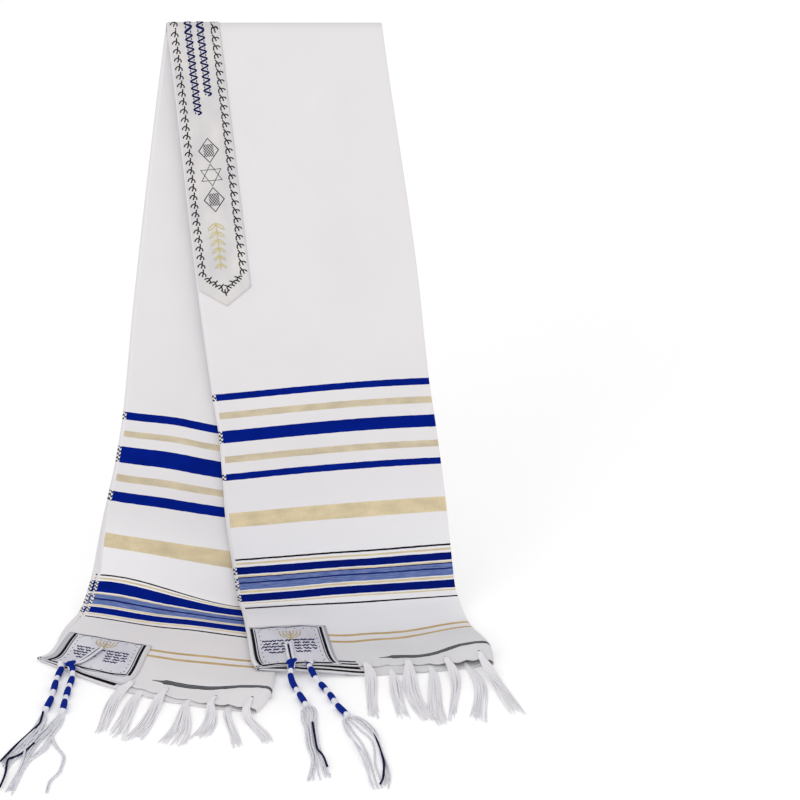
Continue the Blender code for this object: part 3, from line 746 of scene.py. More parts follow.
def woven_cloth():
    """Viscose twill: matt and soft white, with royal, gold and black weft stripes."""
    look = new_look("woven white viscose twill", "#E0DDE1", 0.85, Specular_IOR_Level=0.04)
    place, across, signed = flat_places(look)
    # threads are 0.3 mm, too fine to show, so the wander of a stripe's edge is drawn as 0.5 mm
    wander = node(look, "Math", (speckle(look, place, 9, 9), 0.5), operation="SUBTRACT")
    along = node(look, "Math", (signed,), operation="ABSOLUTE")
    along = node(look, "Math", (along, wander), operation="ADD")
    from_edge = node(look, "Math", (across, HALF), operation="PINGPONG")
    in_front = node(look, "Math", (signed, 0.0), operation="GREATER_THAN")
    behind = node(look, "Math", (signed, 0.0), operation="LESS_THAN")

    colour, kinds, striped = stripes_of(look, along, from_edge, in_front, behind)
    lurex, heather, royal = kinds
    colour = threads_of(look, place, across, colour, lurex, heather)
    white = ground_of(look, place, along, in_front, behind)
    final = node(look, "Mix", {0: striped, 6: white, 7: colour}, data_type="RGBA")
    selvage, edge = selvage_of(look, along, from_edge, royal, heather)
    final = node(look, "Mix", {0: selvage, 6: final, 7: edge}, data_type="RGBA")
    # a grey line of painted shade along the fold over the rod
    final = {0: painted_fold_shade(look), 6: final, 7: linear("#A9A5AA")}
    final = node(look, "Mix", final, data_type="RGBA")

    # twill lines and slubs
    twill = node(look, "Math", (across, signed), operation="ADD")
    twill = repeats(look, twill, TWILL_PITCH)
    twill = node(look, "Math", (twill, 0.25), operation="MULTIPLY")
    slubs = speckle(look, place, 3.0, 1.1, 3.0)
    height = node(look, "Math", (slubs, 1.4, twill), operation="MULTIPLY_ADD")
    relief = {"Height": height, "Strength": 0.6, "Distance": 0.12 * MM}
    # lurex is smoother than the twill
    rough = node(look, "Math", (lurex, -0.32, 0.82), operation="MULTIPLY_ADD")
    bump = node(look, "Bump", relief)
    dress(look, {"Base Color": final, "Roughness": rough, "Normal": bump})
    return look


STITCH_PITCH = 3.2
# ribs of the satin's weave are 0.4 mm apart in the real one, and drawn further apart so that
# they show
SATIN_PITCH = 1.3


def satin(name, dark, light, edge_at, edge_dark, edge_light, worn=0.0):
    """Woven satin: smooth and silvery, with fine ribs across it and a sewn edge, `worn` paler."""
    look = new_look(name, light, 0.42)
    place, across, along = flat_places(look)
    cloudy = node(look, "MapRange", (speckle(look, place, 30, 55), 0.35, 0.65))
    colour = {0: cloudy, 6: linear(dark), 7: linear(light)}
    colour = node(look, "Mix", colour, data_type="RGBA")
    # the edge is overcast
    from_middle = node(look, "Math", (across,), operation="ABSOLUTE")
    edge = node(look, "Math", (from_middle, edge_at), operation="GREATER_THAN")
    stitches = repeats(look, along, STITCH_PITCH)
    stitches = node(look, "Math", (stitches, 0.25, 0.5), operation="MULTIPLY_ADD")
    sewn = {0: stitches, 6: linear(edge_dark), 7: linear(edge_light)}
    sewn = node(look, "Mix", sewn, data_type="RGBA")
    paler = node(look, "MapRange", (across, -1.0, 1.0, 0.0, worn))
    sewn = node(look, "Mix", {0: paler, 6: sewn, 7: linear("#D6D4D8")}, data_type="RGBA")
    final = node(look, "Mix", {0: edge, 6: colour, 7: sewn}, data_type="RGBA")
    height = (repeats(look, along, SATIN_PITCH), 0.3, speckle(look, place, 0.9, 2.4))
    height = node(look, "Math", height, operation="MULTIPLY_ADD")
    relief = {"Height": height, "Strength": 0.5, "Distance": 0.08 * MM}
    dress(look, {"Base Color": final, "Normal": node(look, "Bump", relief)})
    return look


def twisted(name, colour, shade, roughness, pitch=1.6):
    """Yarn: matt and hairy, its plies showing as painted shade about `pitch` millimetres apart."""
    look = new_look(name, colour, roughness, Specular_IOR_Level=0.06)
    place = node(look, "TexCoord").outputs["Object"]
    plies = node(look, "TexNoise", {"Vector": place, "Scale": 1 / (pitch * MM), "Detail": 2.0})
    yarns = {0: plies, 6: linear(shade), 7: linear(colour)}
    relief = {"Height": plies, "Strength": 0.7, "Distance": 0.25 * MM}
    yarns = node(look, "Mix", yarns, data_type="RGBA")
    dress(look, {"Base Color": yarns, "Normal": node(look, "Bump", relief)})
    return look


# Spun viscose: matt, soft white and warm
CLOTH = woven_cloth()
# Polyester satin: a broad soft sheen, greyer than the cloth
SATIN = satin("silver-white polyester satin", "#C8C6C8", "#D8D4D1", 28.5, "#CDCBCF", "#E0DEE1")
PATCH_SATIN = {
    end: satin(name, "#C6C5CF", "#D8D7DF", 40.5, "#ABABB4", "#BABAC2", worn)
    for end, name, worn in (
        ("front", "silver-grey polyester satin", 0.0),
        ("back", "silver-grey polyester satin, worn", 1.0),
    )
}
# Spun yarns: no shine, with painted shade between their plies
FRINGE_YARN = twisted("loose white viscose yarn", "#F4F2F5", "#DAD8DD", 0.85)
# the tassel yarn's dark shade colour is painted shade between its strands
TASSEL_YARN = twisted("twisted white polyester yarn", "#FFFFFF", "#A6A6B8", 0.7, 2.2)
BLUE_WINDING = twisted("wound royal blue yarn", "#0A2C9C", "#04155E", 0.7)
WHITE_WINDING = twisted("wound white yarn", "#FAFAFE", "#C2C2D0", 0.7)
DARK_YARN = twisted("twisted navy yarn", "#17174A", "#08081C", 0.7)
# Rayon embroidery threads: a slight sheen
INK_THREAD = twisted("charcoal embroidery thread", "#30303A", "#202028", 0.6)
NAVY_THREAD = twisted("navy embroidery thread", "#101A62", "#0A1040", 0.6)
BLACK_THREAD = twisted("black embroidery thread", "#0B0B0E", "#050507", 0.6)
# Metal-wound threads: they glint, and are drawn without metal so that no side goes dark
GOLD_THREAD = twisted("gold lurex thread", "#C6B274", "#A89559", 0.4)
PALE_GOLD_THREAD = twisted("pale gold lurex thread", "#DDCF93", "#C4B474", 0.4)
# Painted steel: smooth and faintly glossy
ROD_PAINT = new_look("light grey satin paint on steel", "#B4B4B6", 0.35)
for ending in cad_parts["rod"].material_slots:
    ending.material = ROD_PAINT

# ---------------------------------------------------------------------------------------------
# The cloth

FRONT_BOW, FRONT_SAG, BACK_BOW = 2.7, 7.0, 2.6
BACK_BOW_AT, BACK_BOW_WIDTH = 0.24, 0.13  # shares of the width


def stripe_rise(fall, pattern):
    """How far the stripes stand above their straight lines across the cloth, in millimetres."""
    u = SHARES[:, None]
    if fall is FRONT:
        bowed = FRONT_BOW * np.sin(math.pi * u**1.3)
        bowed = bowed * np.interp(pattern, (420, 480, 570, 690), (0, 1, 1, 0))
        sagging = FRONT_SAG * (1 - u) * np.interp(pattern, (740, 800, 850, 868), (0, 1, 1, 0))
        return bowed - sagging
    full = np.exp(-(((u - BACK_BOW_AT) / BACK_BOW_WIDTH) ** 2))
    return BACK_BOW * full * np.interp(pattern, (420, 480, 600, 690), (0, 1, 0.3, 0))


def woven_at(pattern):
    """The weave's own distance along the cloth at each signed pattern distance."""
    rise = np.where(pattern > 0, stripe_rise(FRONT, pattern), -stripe_rise(BACK, -pattern))
    return pattern + rise


turn = turned_edge()
cloth_points = np.concatenate([OUTER[0], turn, INNER[0][::-1]])
outer_weave, inner_weave = woven_at(OUTER[1]), woven_at(INNER[1])
turned_weave = np.repeat(outer_weave[-1:], TURN_POINTS, axis=0)
weave = np.concatenate([outer_weave, turned_weave, inner_weave[::-1]])
# the cloth's flat width, with a millimetre and a half in the turn of the lengthwise fold
TO_TURN = HALF - 0.8
flat_across = np.concatenate(
    [
        SHARES * TO_TURN,
        np.linspace(TO_TURN + 0.2, TO_TURN + 1.4, TURN_POINTS),
        2 * HALF - SHARES[::-1] * TO_TURN,
    ]
)
cloth_uvs = np.stack([np.broadcast_to(flat_across[:, None], weave.shape), weave], axis=-1) * MM
shawl = grid_mesh("shawl", cloth_points, cloth_uvs, CLOTH, thick=THICK)
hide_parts("front_fall", "back_fall")

# ---------------------------------------------------------------------------------------------
# The neckband, over the rod on the outer layer, pointed at both ends

BAND_FROM, BAND_MIDDLE, BAND_TO = 0.008, 0.127, 0.246
BAND_HALF, BAND_POINT = 369.0, 22.0
BAND_THICK = 0.6
BAND_LIFT = WALL / 2 + 0.3 + BAND_THICK / 2


def band_grid(columns=21, lines=240):
    shares = np.linspace(BAND_FROM, BAND_TO, columns)
    points, uvs = [], []
    for u in shares:
        off_middle = abs(u - BAND_MIDDLE) / (BAND_TO - BAND_MIDDLE)
        signed = np.linspace(1, -1, lines) * (BAND_HALF - BAND_POINT * off_middle)
        points.append(OUTER_FACE.at(np.full(lines, u), signed, BAND_LIFT))
        uvs.append(np.stack([np.full(lines, (u - BAND_MIDDLE) * HALF), signed], axis=-1) * MM)
    return np.array(points), np.array(uvs)


neckband = grid_mesh("neckband_satin", *band_grid(), SATIN, thick=BAND_THICK)
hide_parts("neckband")

# ---------------------------------------------------------------------------------------------
# The corner patches

Patch = namedtuple("Patch", "end fall u_from u_to t_from t_to width length")
PATCHES = (
    Patch("front", FRONT, 0.015, 0.365, 8.72, 10.95, 87.0, 92.0),
    Patch("back", BACK, 0.02, 0.41, 8.80, 10.96, 97.0, 88.0),
)
PATCH_THICK = 0.5
PATCH_COLUMNS, PATCH_LINES, PATCH_STATIONS = 25, 27, 60
PATCH_LIFT = WALL / 2 + 0.3 + PATCH_THICK / 2


def face_of(fall, visible):
    """The face that lies uppermost on a turned-out end, or the one under it."""
    return OUTER_FACE if (fall is FRONT) == visible else INNER_FACE


def grid_row(fall, t):
    """The joined grid's row index for a fall's row number."""
    step = np.interp(t, ROWS, np.arange(len(ROWS)))
    return len(ROWS) - 1 - step if fall is FRONT else len(ROWS) - 1 + step


def patch_place(patch, visible):
    """Gives a function that puts patch millimetres, from its middle, on the cloth."""
    face = face_of(patch.fall, visible)
    rows = grid_row(patch.fall, np.linspace(patch.t_from, patch.t_to, PATCH_STATIONS))
    u_middle = (patch.u_from + patch.u_to) / 2
    line = face.at_row(np.full(PATCH_STATIONS, u_middle), rows, 0.0)
    walked = walked_along(line)

    def place(x, y, lift):
        u = u_middle + np.asarray(x) / patch.width * (patch.u_to - patch.u_from)
        share = 0.5 - np.asarray(y) / patch.length
        return face.at_row(u, np.interp(share * walked[-1], walked, rows), lift)

    return place


for patch in PATCHES:
    for visible, level in ((True, "upper"), (False, "lower")):
        xs = np.linspace(-patch.width / 2, patch.width / 2, PATCH_COLUMNS)
        ys = np.linspace(-patch.length / 2, patch.length / 2, PATCH_LINES)
        place = patch_place(patch, visible)
        points = np.array([place(np.full(PATCH_LINES, x), ys, PATCH_LIFT) for x in xs])
        uvs = np.stack(np.meshgrid(xs, ys, indexing="ij"), axis=-1) * MM
        name = f"patch_satin_{patch.end}_{level}"
        sewn_on = grid_mesh(name, points, uvs, PATCH_SATIN[patch.end], thick=PATCH_THICK)
        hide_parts(f"corner_patch_{patch.end}_{level}")

# ---------------------------------------------------------------------------------------------
# Embroidery: strokes drawn flat in millimetres, made into raised stitching and laid on the satin

THREAD_FLATTEN = 0.42  # a thread's height, over its width


def embroider(name, strokes, look, width, place, lift, loops=False):
    """Satin-stitched strokes as one piece; `place` puts flat millimetres on the cloth."""
    level = [np.c_[np.array(stroke, float), np.zeros(len(stroke))] for stroke in strokes]
    mesh = swept(name, level, width / 2, 0, loops=loops)
    flat = np.empty(3 * len(mesh.vertices))
    mesh.vertices.foreach_get("co", flat)
    x, y, z = flat.reshape(-1, 3).T
    mesh.vertices.foreach_set("co", (place(x, y, lift + z * THREAD_FLATTEN) * MM).ravel())
    mesh.update()
    piece = shown(name, mesh, look)
    return piece


def moved(strokes, x, y, turn=0.0, size=1.0):
    """Strokes turned about their own origin, resized and moved."""
    c, s = math.cos(turn) * size, math.sin(turn) * size
    turned = np.array([[c, s], [-s, c]])
    return [np.array(stroke, float) @ turned + [x, y] for stroke in strokes]


def rounded(radius, start, end, count=9, x=0.0, y=0.0):
    """An arc of a circle, its angles in degrees."""
    angles = np.radians(np.linspace(start, end, count))
    return np.stack([x + radius * np.cos(angles), y + radius * np.sin(angles)], axis=-1)


SPRIG = (
    ((-0.9, -4.6), (-0.2, -2.0), (0.2, 1.2), (0.0, 3.6)),
    ((-0.2, -1.6), (-2.2, -0.6), (-3.3, 1.2), (-3.4, 3.2)),
    ((-0.1, -0.4), (1.7, -0.3), (3.0, 0.8), (3.4, 2.6)),
)
# sprigs along each side of the neckband, turning in along its point
SPRIGS, FIRST_SPRIG, SPRIG_PITCH, SPRIG_FROM_MIDDLE = 31, 5.0, 10.7, 22.7
SPRIG_LEAN, SPRIG_SIZE, TIP_LEAN, TIP_SIZE = 0.35, 1.16, 0.95, 1.08
TIP_SPRIGS, TIP_FROM, TIP_RUN, TIP_END = 3, 330.0, 18.0, 351.0
# running waves: their distance from the band's middle and how far they run each way
WAVES = ((-7.4, 130.0), (6.8, 108.0))
WAVE_HEIGHT, WAVE_LENGTH = 4.0, 8.8


def band_place(x, y, lift):
    return OUTER_FACE.at(BAND_MIDDLE + x / HALF, y, lift)


def on_both_halves(strokes):
    return [np.array(stroke) * [1, way] for way in (1, -1) for stroke in strokes]


def sprig_border():
    strokes = []
    for side in (-1, 1):
        for k in range(SPRIGS):
            along = FIRST_SPRIG + k * SPRIG_PITCH
            x = side * SPRIG_FROM_MIDDLE
            strokes += moved(SPRIG, x, along, turn=-side * SPRIG_LEAN, size=SPRIG_SIZE)
        for k in range(TIP_SPRIGS):
            share = (k + 0.9) / (TIP_SPRIGS + 0.6)
            x, y = side * SPRIG_FROM_MIDDLE * (1 - share), TIP_FROM + TIP_RUN * share
            strokes += moved(SPRIG, x, y, turn=-side * TIP_LEAN, size=TIP_SIZE)
    strokes += moved(SPRIG, 0, TIP_END, turn=math.pi)
    return on_both_halves(strokes)


def running_waves():
    """A wave along the band, with a short stitch in each of its hollows."""
    strokes = []
    for middle_x, reach in WAVES:
        ys = np.arange(-reach, reach, WAVE_LENGTH / 10)
        wave = WAVE_HEIGHT * np.sin(2 * math.pi * (ys + reach) / WAVE_LENGTH)
        strokes.append(np.stack([middle_x + wave, ys], axis=-1))
        for k in range(int(4 * reach / WAVE_LENGTH)):
            y = -reach + (k + 0.5) * WAVE_LENGTH / 2
            x = middle_x - WAVE_HEIGHT * 0.7 * (-1) ** k
            strokes.append([(x - 0.6, y), (x + 0.6, y)])
    return strokes


def six_pointed_star(radius):
    corners = rounded(radius, 90, 450, 4)
    return [corners[:3], -corners[:3]]


def lozenge(half_width, half_height):
    return [[(half_width, 0), (0, half_height), (-half_width, 0), (0, -half_height)]]


STAR_RADIUS, STAR_Y = 13.5, 205.0
LOZENGE, LATTICE = (11.5, 15.0), np.array([5.8, 7.6])  # half their width and height
LOZENGES_Y = (174.6, 235.4)


def medallion():
    """A star between two latticed lozenges: its outlines, and the lines of its lattices."""
    loops = moved(six_pointed_star(STAR_RADIUS), 0, STAR_Y)
    hatches = []
    for y in LOZENGES_Y:
        loops += moved(lozenge(*LOZENGE), 0, y)
        for k in range(-3, 4):
            reach = 1 - abs(k) / 4
            slant = np.array([[-1, 1], [1, -1]]) * LATTICE * reach
            shift = LATTICE * k / 4
            hatches += [slant + shift + [0, y], slant * [-1, 1] + shift * [-1, 1] + [0, y]]
    return loops, hatches


LEAF = ((0, 0), (3.6, 1.0), (7.4, 4.4), (9.0, 8.0), (5.4, 6.6), (1.8, 3.4), (0, 0))
BRANCH_FROM, BRANCH_TO, BRANCH_OFF_MIDDLE, LEAF_PAIRS = 264.0, 322.0, -1.6, 6


def olive_branch():
    """A stem with paired leaves, which point to the band's end and get smaller."""
    strokes = [[(0, BRANCH_FROM), (0.5, (BRANCH_FROM + BRANCH_TO) / 2), (0, BRANCH_TO)]]
    for k, y in enumerate(np.linspace(BRANCH_FROM + 1, BRANCH_TO - 7, LEAF_PAIRS)):
        size = 1.05 - 0.07 * k
        for side in (-1, 1):
            strokes.append(np.array(LEAF) * [side * size, size] + [0, y])
    return moved(strokes, BRANCH_OFF_MIDDLE, 0)


BAND_TOP = BAND_LIFT + BAND_THICK / 2
stars_and_lozenges, lattices = medallion()
for part, strokes, look, width, loops in (
    ("sprig_border", sprig_border(), INK_THREAD, 1.6, False),
    ("running_waves", running_waves(), NAVY_THREAD, 2.3, False),
    ("medallion", on_both_halves(stars_and_lozenges), INK_THREAD, 1.5, True),
    ("lattice", on_both_halves(lattices), INK_THREAD, 0.75, False),
    ("olive_branch", on_both_halves(olive_branch()), PALE_GOLD_THREAD, 1.2, False),
):
    embroider("band_" + part, strokes, look, width, band_place, BAND_TOP, loops)

# The frame sewn on each corner patch: the middle of its two bars, half the way between them, how
# much shorter its right side is than its left one, and the place of the candelabrum in it
Frame = namedtuple("Frame", "x half shorter lamp_x lamp_y")
PATCH_FRAMES = {
    "front": Frame(-2.2, 39.0, 0.0, 1.0, 27.5),
    "back": Frame(0.0, 41.0, 0.18, -1.4, 30.5),
}
FRAME_TOP, FRAME_FOOT = 42.0, -43.0
FINE_INSET, DOT_INSET = 3.2, 7.5
SIDE_DOTS, SIDE_DOT_PITCH, END_DOTS, HALF_DOT = 8, 9.8, 7, 0.7
# the frame's ends are sewn in a slight wave
END_WAVE_HEIGHT, END_WAVE_LENGTH = 0.9, 31.0
# rows of running ornament: distance up from the patch's middle and half length
ORNAMENT_ROWS = ((11.6, 30.0), (4.8, 28.5), (-1.8, 31.0), (-8.4, 29.0), (-15.4, 24.0))
ROW_WAVE_HEIGHT, ROW_WAVE_LENGTH = 1.6, 3.8
WAVE_GROUP, WAVE_GAP = 7.6, 1.9
# rows below this height leave room for the tassel's lead, so far each side of the middle
ROWS_PART_BELOW, HALF_ROOM = 9.0, 5.0


def wavy_line(x_from, x_to, y, height, length, phase=0.0):
    xs = np.arange(x_from, x_to, length / 7)
    return np.stack([xs, y + height * np.sin(2 * math.pi * xs / length + phase)], axis=-1)


BRANCH_STEP, LAMP_SIZE = 3.7, 1.04


def candelabrum(x, y):
    """Seven branches on a foot, with a flame over each."""
    strokes = [[(0, -14), (0, 3.4)], [(-4.4, -14.4), (0, -12.6), (4.4, -14.4)]]
    for k in (1, 2, 3):
        strokes.append(rounded(k * BRANCH_STEP, 180, 360, 13, y=0.8) * [1, 0.94])
    strokes += [[(k * BRANCH_STEP, 2.6), (k * BRANCH_STEP, 5.2)] for k in range(-3, 4)]
    return moved(strokes, x, y, size=LAMP_SIZE)


def patch_ornament(end, place, lift):
    sewn = PATCH_FRAMES[end]
    middle_x, half = sewn.x, sewn.half
    left, right = middle_x - half, middle_x + half

    def sewn_place(x, y, height):
        squeeze = 1 - sewn.shorter * (x - left) / (right - left)
        return place(x, FRAME_TOP - (FRAME_TOP - y) * squeeze, height)

    heights = np.linspace(FRAME_TOP, FRAME_FOOT, 40)
    bars = [[(x, y) for y in heights] for x in (left, right)]
    bars += [wavy_line(left, right, FRAME_FOOT, END_WAVE_HEIGHT, END_WAVE_LENGTH)]
    heights = np.linspace(FRAME_TOP - 3, FRAME_FOOT + 3, 40)
    fine = [[(x, y) for y in heights] for x in (left + FINE_INSET, right - FINE_INSET)]
    for y in (FRAME_TOP, FRAME_TOP + 0.8, FRAME_FOOT - 3):
        fine.append(wavy_line(left, right, y, END_WAVE_HEIGHT, END_WAVE_LENGTH, y))
    dots = []
    for k in range(SIDE_DOTS):
        y = FRAME_TOP - 8 - k * SIDE_DOT_PITCH
        for x in (left + DOT_INSET, right - DOT_INSET):
            dots.append([(x, y - HALF_DOT), (x, y + HALF_DOT)])
    for x in np.linspace(left + 10, right - 10, END_DOTS):
        for y in (FRAME_TOP - 4, FRAME_FOOT + 5):
            dots.append([(x - HALF_DOT, y), (x + HALF_DOT, y)])
    rows = []
    for k, (y, reach) in enumerate(ORNAMENT_ROWS):
        parts = [(-reach, reach)]
        if y < ROWS_PART_BELOW:
            parts = [(-reach, -HALF_ROOM), (HALF_ROOM, reach)]
        for start, stop in parts:
            for x in np.arange(start, stop - 3, WAVE_GROUP + WAVE_GAP * (1 + k % 2) / 2):
                x_from, x_to = middle_x + x, middle_x + min(x + WAVE_GROUP, stop)
                rows.append(wavy_line(x_from, x_to, y, ROW_WAVE_HEIGHT, ROW_WAVE_LENGTH, x + k))
    for part, strokes, look, width in (
        ("bars", bars, BLACK_THREAD, 3.2),
        ("lines", fine, BLACK_THREAD, 1.0),
        ("dots", dots, INK_THREAD, 1.3),
        ("waves", rows, NAVY_THREAD, 1.9),
        ("candelabrum", candelabrum(sewn.lamp_x, sewn.lamp_y), GOLD_THREAD, 1.6),
    ):
        embroider(f"patch_{part}_{end}", strokes, look, width, sewn_place, lift)


for patch in PATCHES:
    patch_ornament(patch.end, patch_place(patch, True), PATCH_LIFT + PATCH_THICK / 2)

# ---------------------------------------------------------------------------------------------
# Yarn


def bezier(a, b, c, d, s):
    s = np.asarray(s, float)[:, None]
    r = 1 - s
    return a * r**3 + 3 * b * r * r * s + 3 * c * r * s * s + d * s**3


def yarn(name, routes, radius, look, taper=0.0):
    """Round yarns along routes of points in millimetres, thinner to their tips, as one piece."""
    mesh = swept(name, [route * MM for route in routes], radius * MM, 1, taper)
    piece = shown(name, mesh, look)
    return piece


# lumps round a knot, their height as a share of its radius, and how they wind, in radians a metre
LUMPS, LUMP_HEIGHT, LUMP_SLANT = 3, 0.12, 400.0


def knots(name, look, places):
    """Small knots and wraps, each a squat ball drawn out along the way it is tied."""
    bm = bmesh.new()
    for centre, way, radius, stretch in places:
        matrix = Vector(way).to_track_quat("Z", "Y").to_matrix().to_4x4()
        matrix = matrix @ Matrix.Diagonal((1, 1, stretch, 1))
        matrix.translation = Vector(centre * MM)
        ball = bmesh.ops.create_uvsphere(
            bm, u_segments=14, v_segments=9, radius=radius * MM, matrix=matrix
        )
        for vert in ball["verts"]:
            local = vert.co - matrix.translation
            turn = math.atan2(local.z, local.x)
            lumps = LUMP_HEIGHT * math.sin(LUMPS * turn + LUMP_SLANT * local.y)
            vert.co = matrix.translation + local * (1 + lumps)
    piece = finished(name, bm, look)


YARN_RADIUS = 1.15
FLOOR = -DROP + 0.1
YARN_LIES = FLOOR + YARN_RADIUS * 0.6  # height of a yarn's middle on the floor
EYELET_BACK = 0.36  # rows from the hem to where a lock comes through the cloth
LOCK_WIDTHS = np.array([2.4, 4.0, 5.5])  # at its eyelet, on the hem and at the hem's edge
YARN_LIFT = 2.2  # most that a yarn arches over the floor
OVER_HEM = 1.2  # how far an upper layer's yarns stand off the hem
# a small dark mark at each upper lock's eyelet is painted shade inside the hole
EYELET_SHADE_WAY, EYELET_SHADE_RADIUS, EYELET_SHADE_STRETCH = (1.0, 0.1, 0.0), 0.8, 1.9
EYELET_SHADE_HALF, EYELET_SHADE_LIFT = 0.05, 0.7  # half its length in rows, and how far it stands up


def lock_routes(fall, lock):
    """The yarns of one lock, from its eyelet over the hem to their tips on the floor."""
    face = face_of(fall, lock.layer == "upper")
    over = 1.0 if lock.layer == "upper" else 0.0
    steps = np.linspace(0, 1, 22)
    left, right = (np.array([*tip, 0.0]) for tip in (lock.left, lock.right))
    rows = np.array([grid_row(fall, HEM - back) for back in (EYELET_BACK, EYELET_BACK / 2, 0)])
    routes = []
    for k in range(lock.yarns):
        share = (k + 0.5) / lock.yarns
        across = lock.u + (share - 0.5) * LOCK_WIDTHS / HALF
        eyelet, rising, edge = face.at_row(across, rows, over)
        lift = rng.uniform(0, YARN_LIFT)
        tip = left + (right - left) * share
        tip += (tip - edge) * [1, 1, 0] * rng.uniform(-0.13, 0.03)
        tip[2] = YARN_LIES + lift * 0.3
        reach = (tip - edge) * [1, 1, 0]
        length = np.linalg.norm(reach)
        side = unit(np.array([-reach[1], reach[0], 0.0]))
        along = unit((edge - rising) * [1, 1, 0])
        leave = edge + along * 0.3 * length
        bend = tip - reach * 0.38 - side * rng.normal(0, 1.2)
        path = bezier(edge, leave, bend, tip, steps)
        path += side * (lock.bow * np.sin(math.pi * steps))[:, None]
        path += side * (rng.normal(0, 0.5) * np.sin(8 * steps + rng.uniform(0, 6)) * steps)[:, None]
        height = edge[2] + (tip[2] - edge[2]) * smooth_step(0.0, 0.42, steps)
        path[:, 2] = height + lift * np.sin(math.pi * np.clip(steps * 1.4, 0, 1)) ** 2
        path[:, 2] = np.maximum(path[:, 2], YARN_LIES)
        hump = np.array([0, 0, OVER_HEM * (over > 0)])
        routes.append(np.vstack([eyelet, rising + hump, path]))
    return routes


for end, fall, locks in (("front", FRONT, FRONT_LOCKS), ("back", BACK, BACK_LOCKS)):
    for level in ("upper", "lower"):
        routes = [r for lock in locks if lock.layer == level for r in lock_routes(fall, lock)]
        name = f"fringe_yarn_{end}_{level}"
        piece = yarn(name, routes, YARN_RADIUS, FRINGE_YARN, taper=0.55)
        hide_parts(f"fringe_{end}_{level}")
    # painted shade in the eyelets of the upper locks, drawn as squat knots of charcoal thread
    shaded_eyelets = np.array([lock.u for lock in locks if lock.layer == "upper"])
    rows = np.full(len(shaded_eyelets), grid_row(fall, HEM - EYELET_BACK - EYELET_SHADE_HALF))
    eyelet_shades = face_of(fall, True).at_row(shaded_eyelets, rows, EYELET_SHADE_LIFT)
    sewn = [(hole, EYELET_SHADE_WAY, EYELET_SHADE_RADIUS, EYELET_SHADE_STRETCH) for hole in eyelet_shades]
    knots(f"fringe_eyelet_shade_{end}", INK_THREAD, sewn)

# ---------------------------------------------------------------------------------------------
# The tassels

# `cord` runs from the hem to the end of its windings. `left` and `right` bound its loose strands
# on the floor, `dark` is the way of its navy strand, and `stray` of one that lies apart. `wraps`
# are the lengths of the blue and white windings in turn.
Tassel = namedtuple("Tassel", "end level lead cord left right dark stray wraps")
TASSELS = (
    Tassel(
        "front",
        "upper",
        ((0.172, 9.45), (0.164, 10.2), (0.15, 10.95)),
        (
            (17, -180, 13.5), (16.5, -188, 10.5), (18, -196, 7),
            (21, -205, 4.6), (27.5, -224, 4.3), (34.5, -244, 4.3),
        ),
        ((32, -254), (32, -272), (37, -296), (41, -335), (45, -362), (41, -394), (38, -415)),
        ((39, -246), (46, -259), (47, -292), (50, -328), (55, -356), (62, -388), (73, -411)),
        ((43, -285), (46, -313), (49, -341), (56, -357), (61, -380)),
        (),
        (9, 4, 16, 7, 14),
    ),
    Tassel(
        "front",
        "lower",
        ((0.22, HEM),),
        (
            (41, -184, 12), (44.5, -192, 8.5), (52, -203, 4.8),
            (62, -224, 4.3), (71, -248, 4.3), (81, -267, 4.3),
        ),
        ((79, -276), (82, -302), (92, -333), (99, -356), (104, -384), (109, -410), (116, -433)),
        (
            (88, -269), (99, -278), (108, -292), (117, -311),
            (124, -338), (129, -367), (131, -399), (128, -428),
        ),
        ((112, -304), (117, -328), (122, -356), (124, -378), (123, -405), (120, -417)),
        (),
        (3, 5, 10, 8, 10, 7, 10, 8, 15),
    ),
    Tassel(
        "back",
        "upper",
        ((0.20, 9.3), (0.165, 10.4), (0.155, 10.95)),
        ((-233, -177, 9), (-233, -186, 5), (-235, -201, 4.3), (-238, -230, 4.3), (-240, -259, 4.3)),
        ((-245, -272), (-257, -302), (-272, -335), (-279, -378), (-295, -434)),
        ((-240, -272), (-252, -318), (-255, -335), (-273, -368), (-286, -436)),
        ((-268, -330), (-284, -357), (-295, -366), (-296, -394), (-300, -424)),
        (
            (-242, -276), (-249, -309), (-243, -333), (-233, -358),
            (-236, -386), (-246, -410), (-248, -431),
        ),
        (8, 5, 9, 4, 10, 5, 12),
    ),
    Tassel(
        "back",
        "lower",
        ((0.105, HEM),),
        (
            (-246, -166, 6.5), (-249, -178, 4.3), (-252, -203, 4.3),
            (-254, -230, 4.3), (-259, -255, 4.3),
        ),
        ((-263, -268), (-272, -304), (-291, -341), (-304, -374)),
        ((-258, -270), (-265, -311), (-281, -350), (-291, -371), (-298, -410)),
        ((-262, -262), (-264, -285), (-273, -305), (-290, -339), (-303, -369)),
        (),
        (0, 5, 9, 5, 11, 7, 12),
    ),
)
LEAD_RADIUS, LEAD_APART, LEAD_YARN_RADIUS = 2.0, 2.7, 1.6
LEAD_CLEAR, LEAD_SINKS, LEAD_PAST_HEM = 1.9, 0.4, 0.9
CORD_SIDES = 16
# each winding's least radius, and what its middle adds; then the grooves between its turns
BLUE_RADIUS, BLUE_SWELL, WHITE_RADIUS, WHITE_SWELL = 2.75, 0.95, 2.55, 0.55
GROOVE, GROOVE_PITCH = 0.16, 2.2
STRAND_RADIUS = 1.3
TASSEL_STRANDS, STRAND_POINTS = 7, 40
STRANDS_WIDTH = 3.0  # where they leave the cord
STRAND_LIFT = 3.6  # most that a strand arches over the floor
STRAY_PAIR = (-1.1, 0.9)


def smooth_route(points, spacing):
    """Points at about `spacing` along a smooth curve through `points`."""
    points = np.array(points, float)
    knots = walked_along(points)
    count = max(2, round(knots[-1] / spacing))
    return monotone(knots, points, np.linspace(0, knots[-1], count + 1))


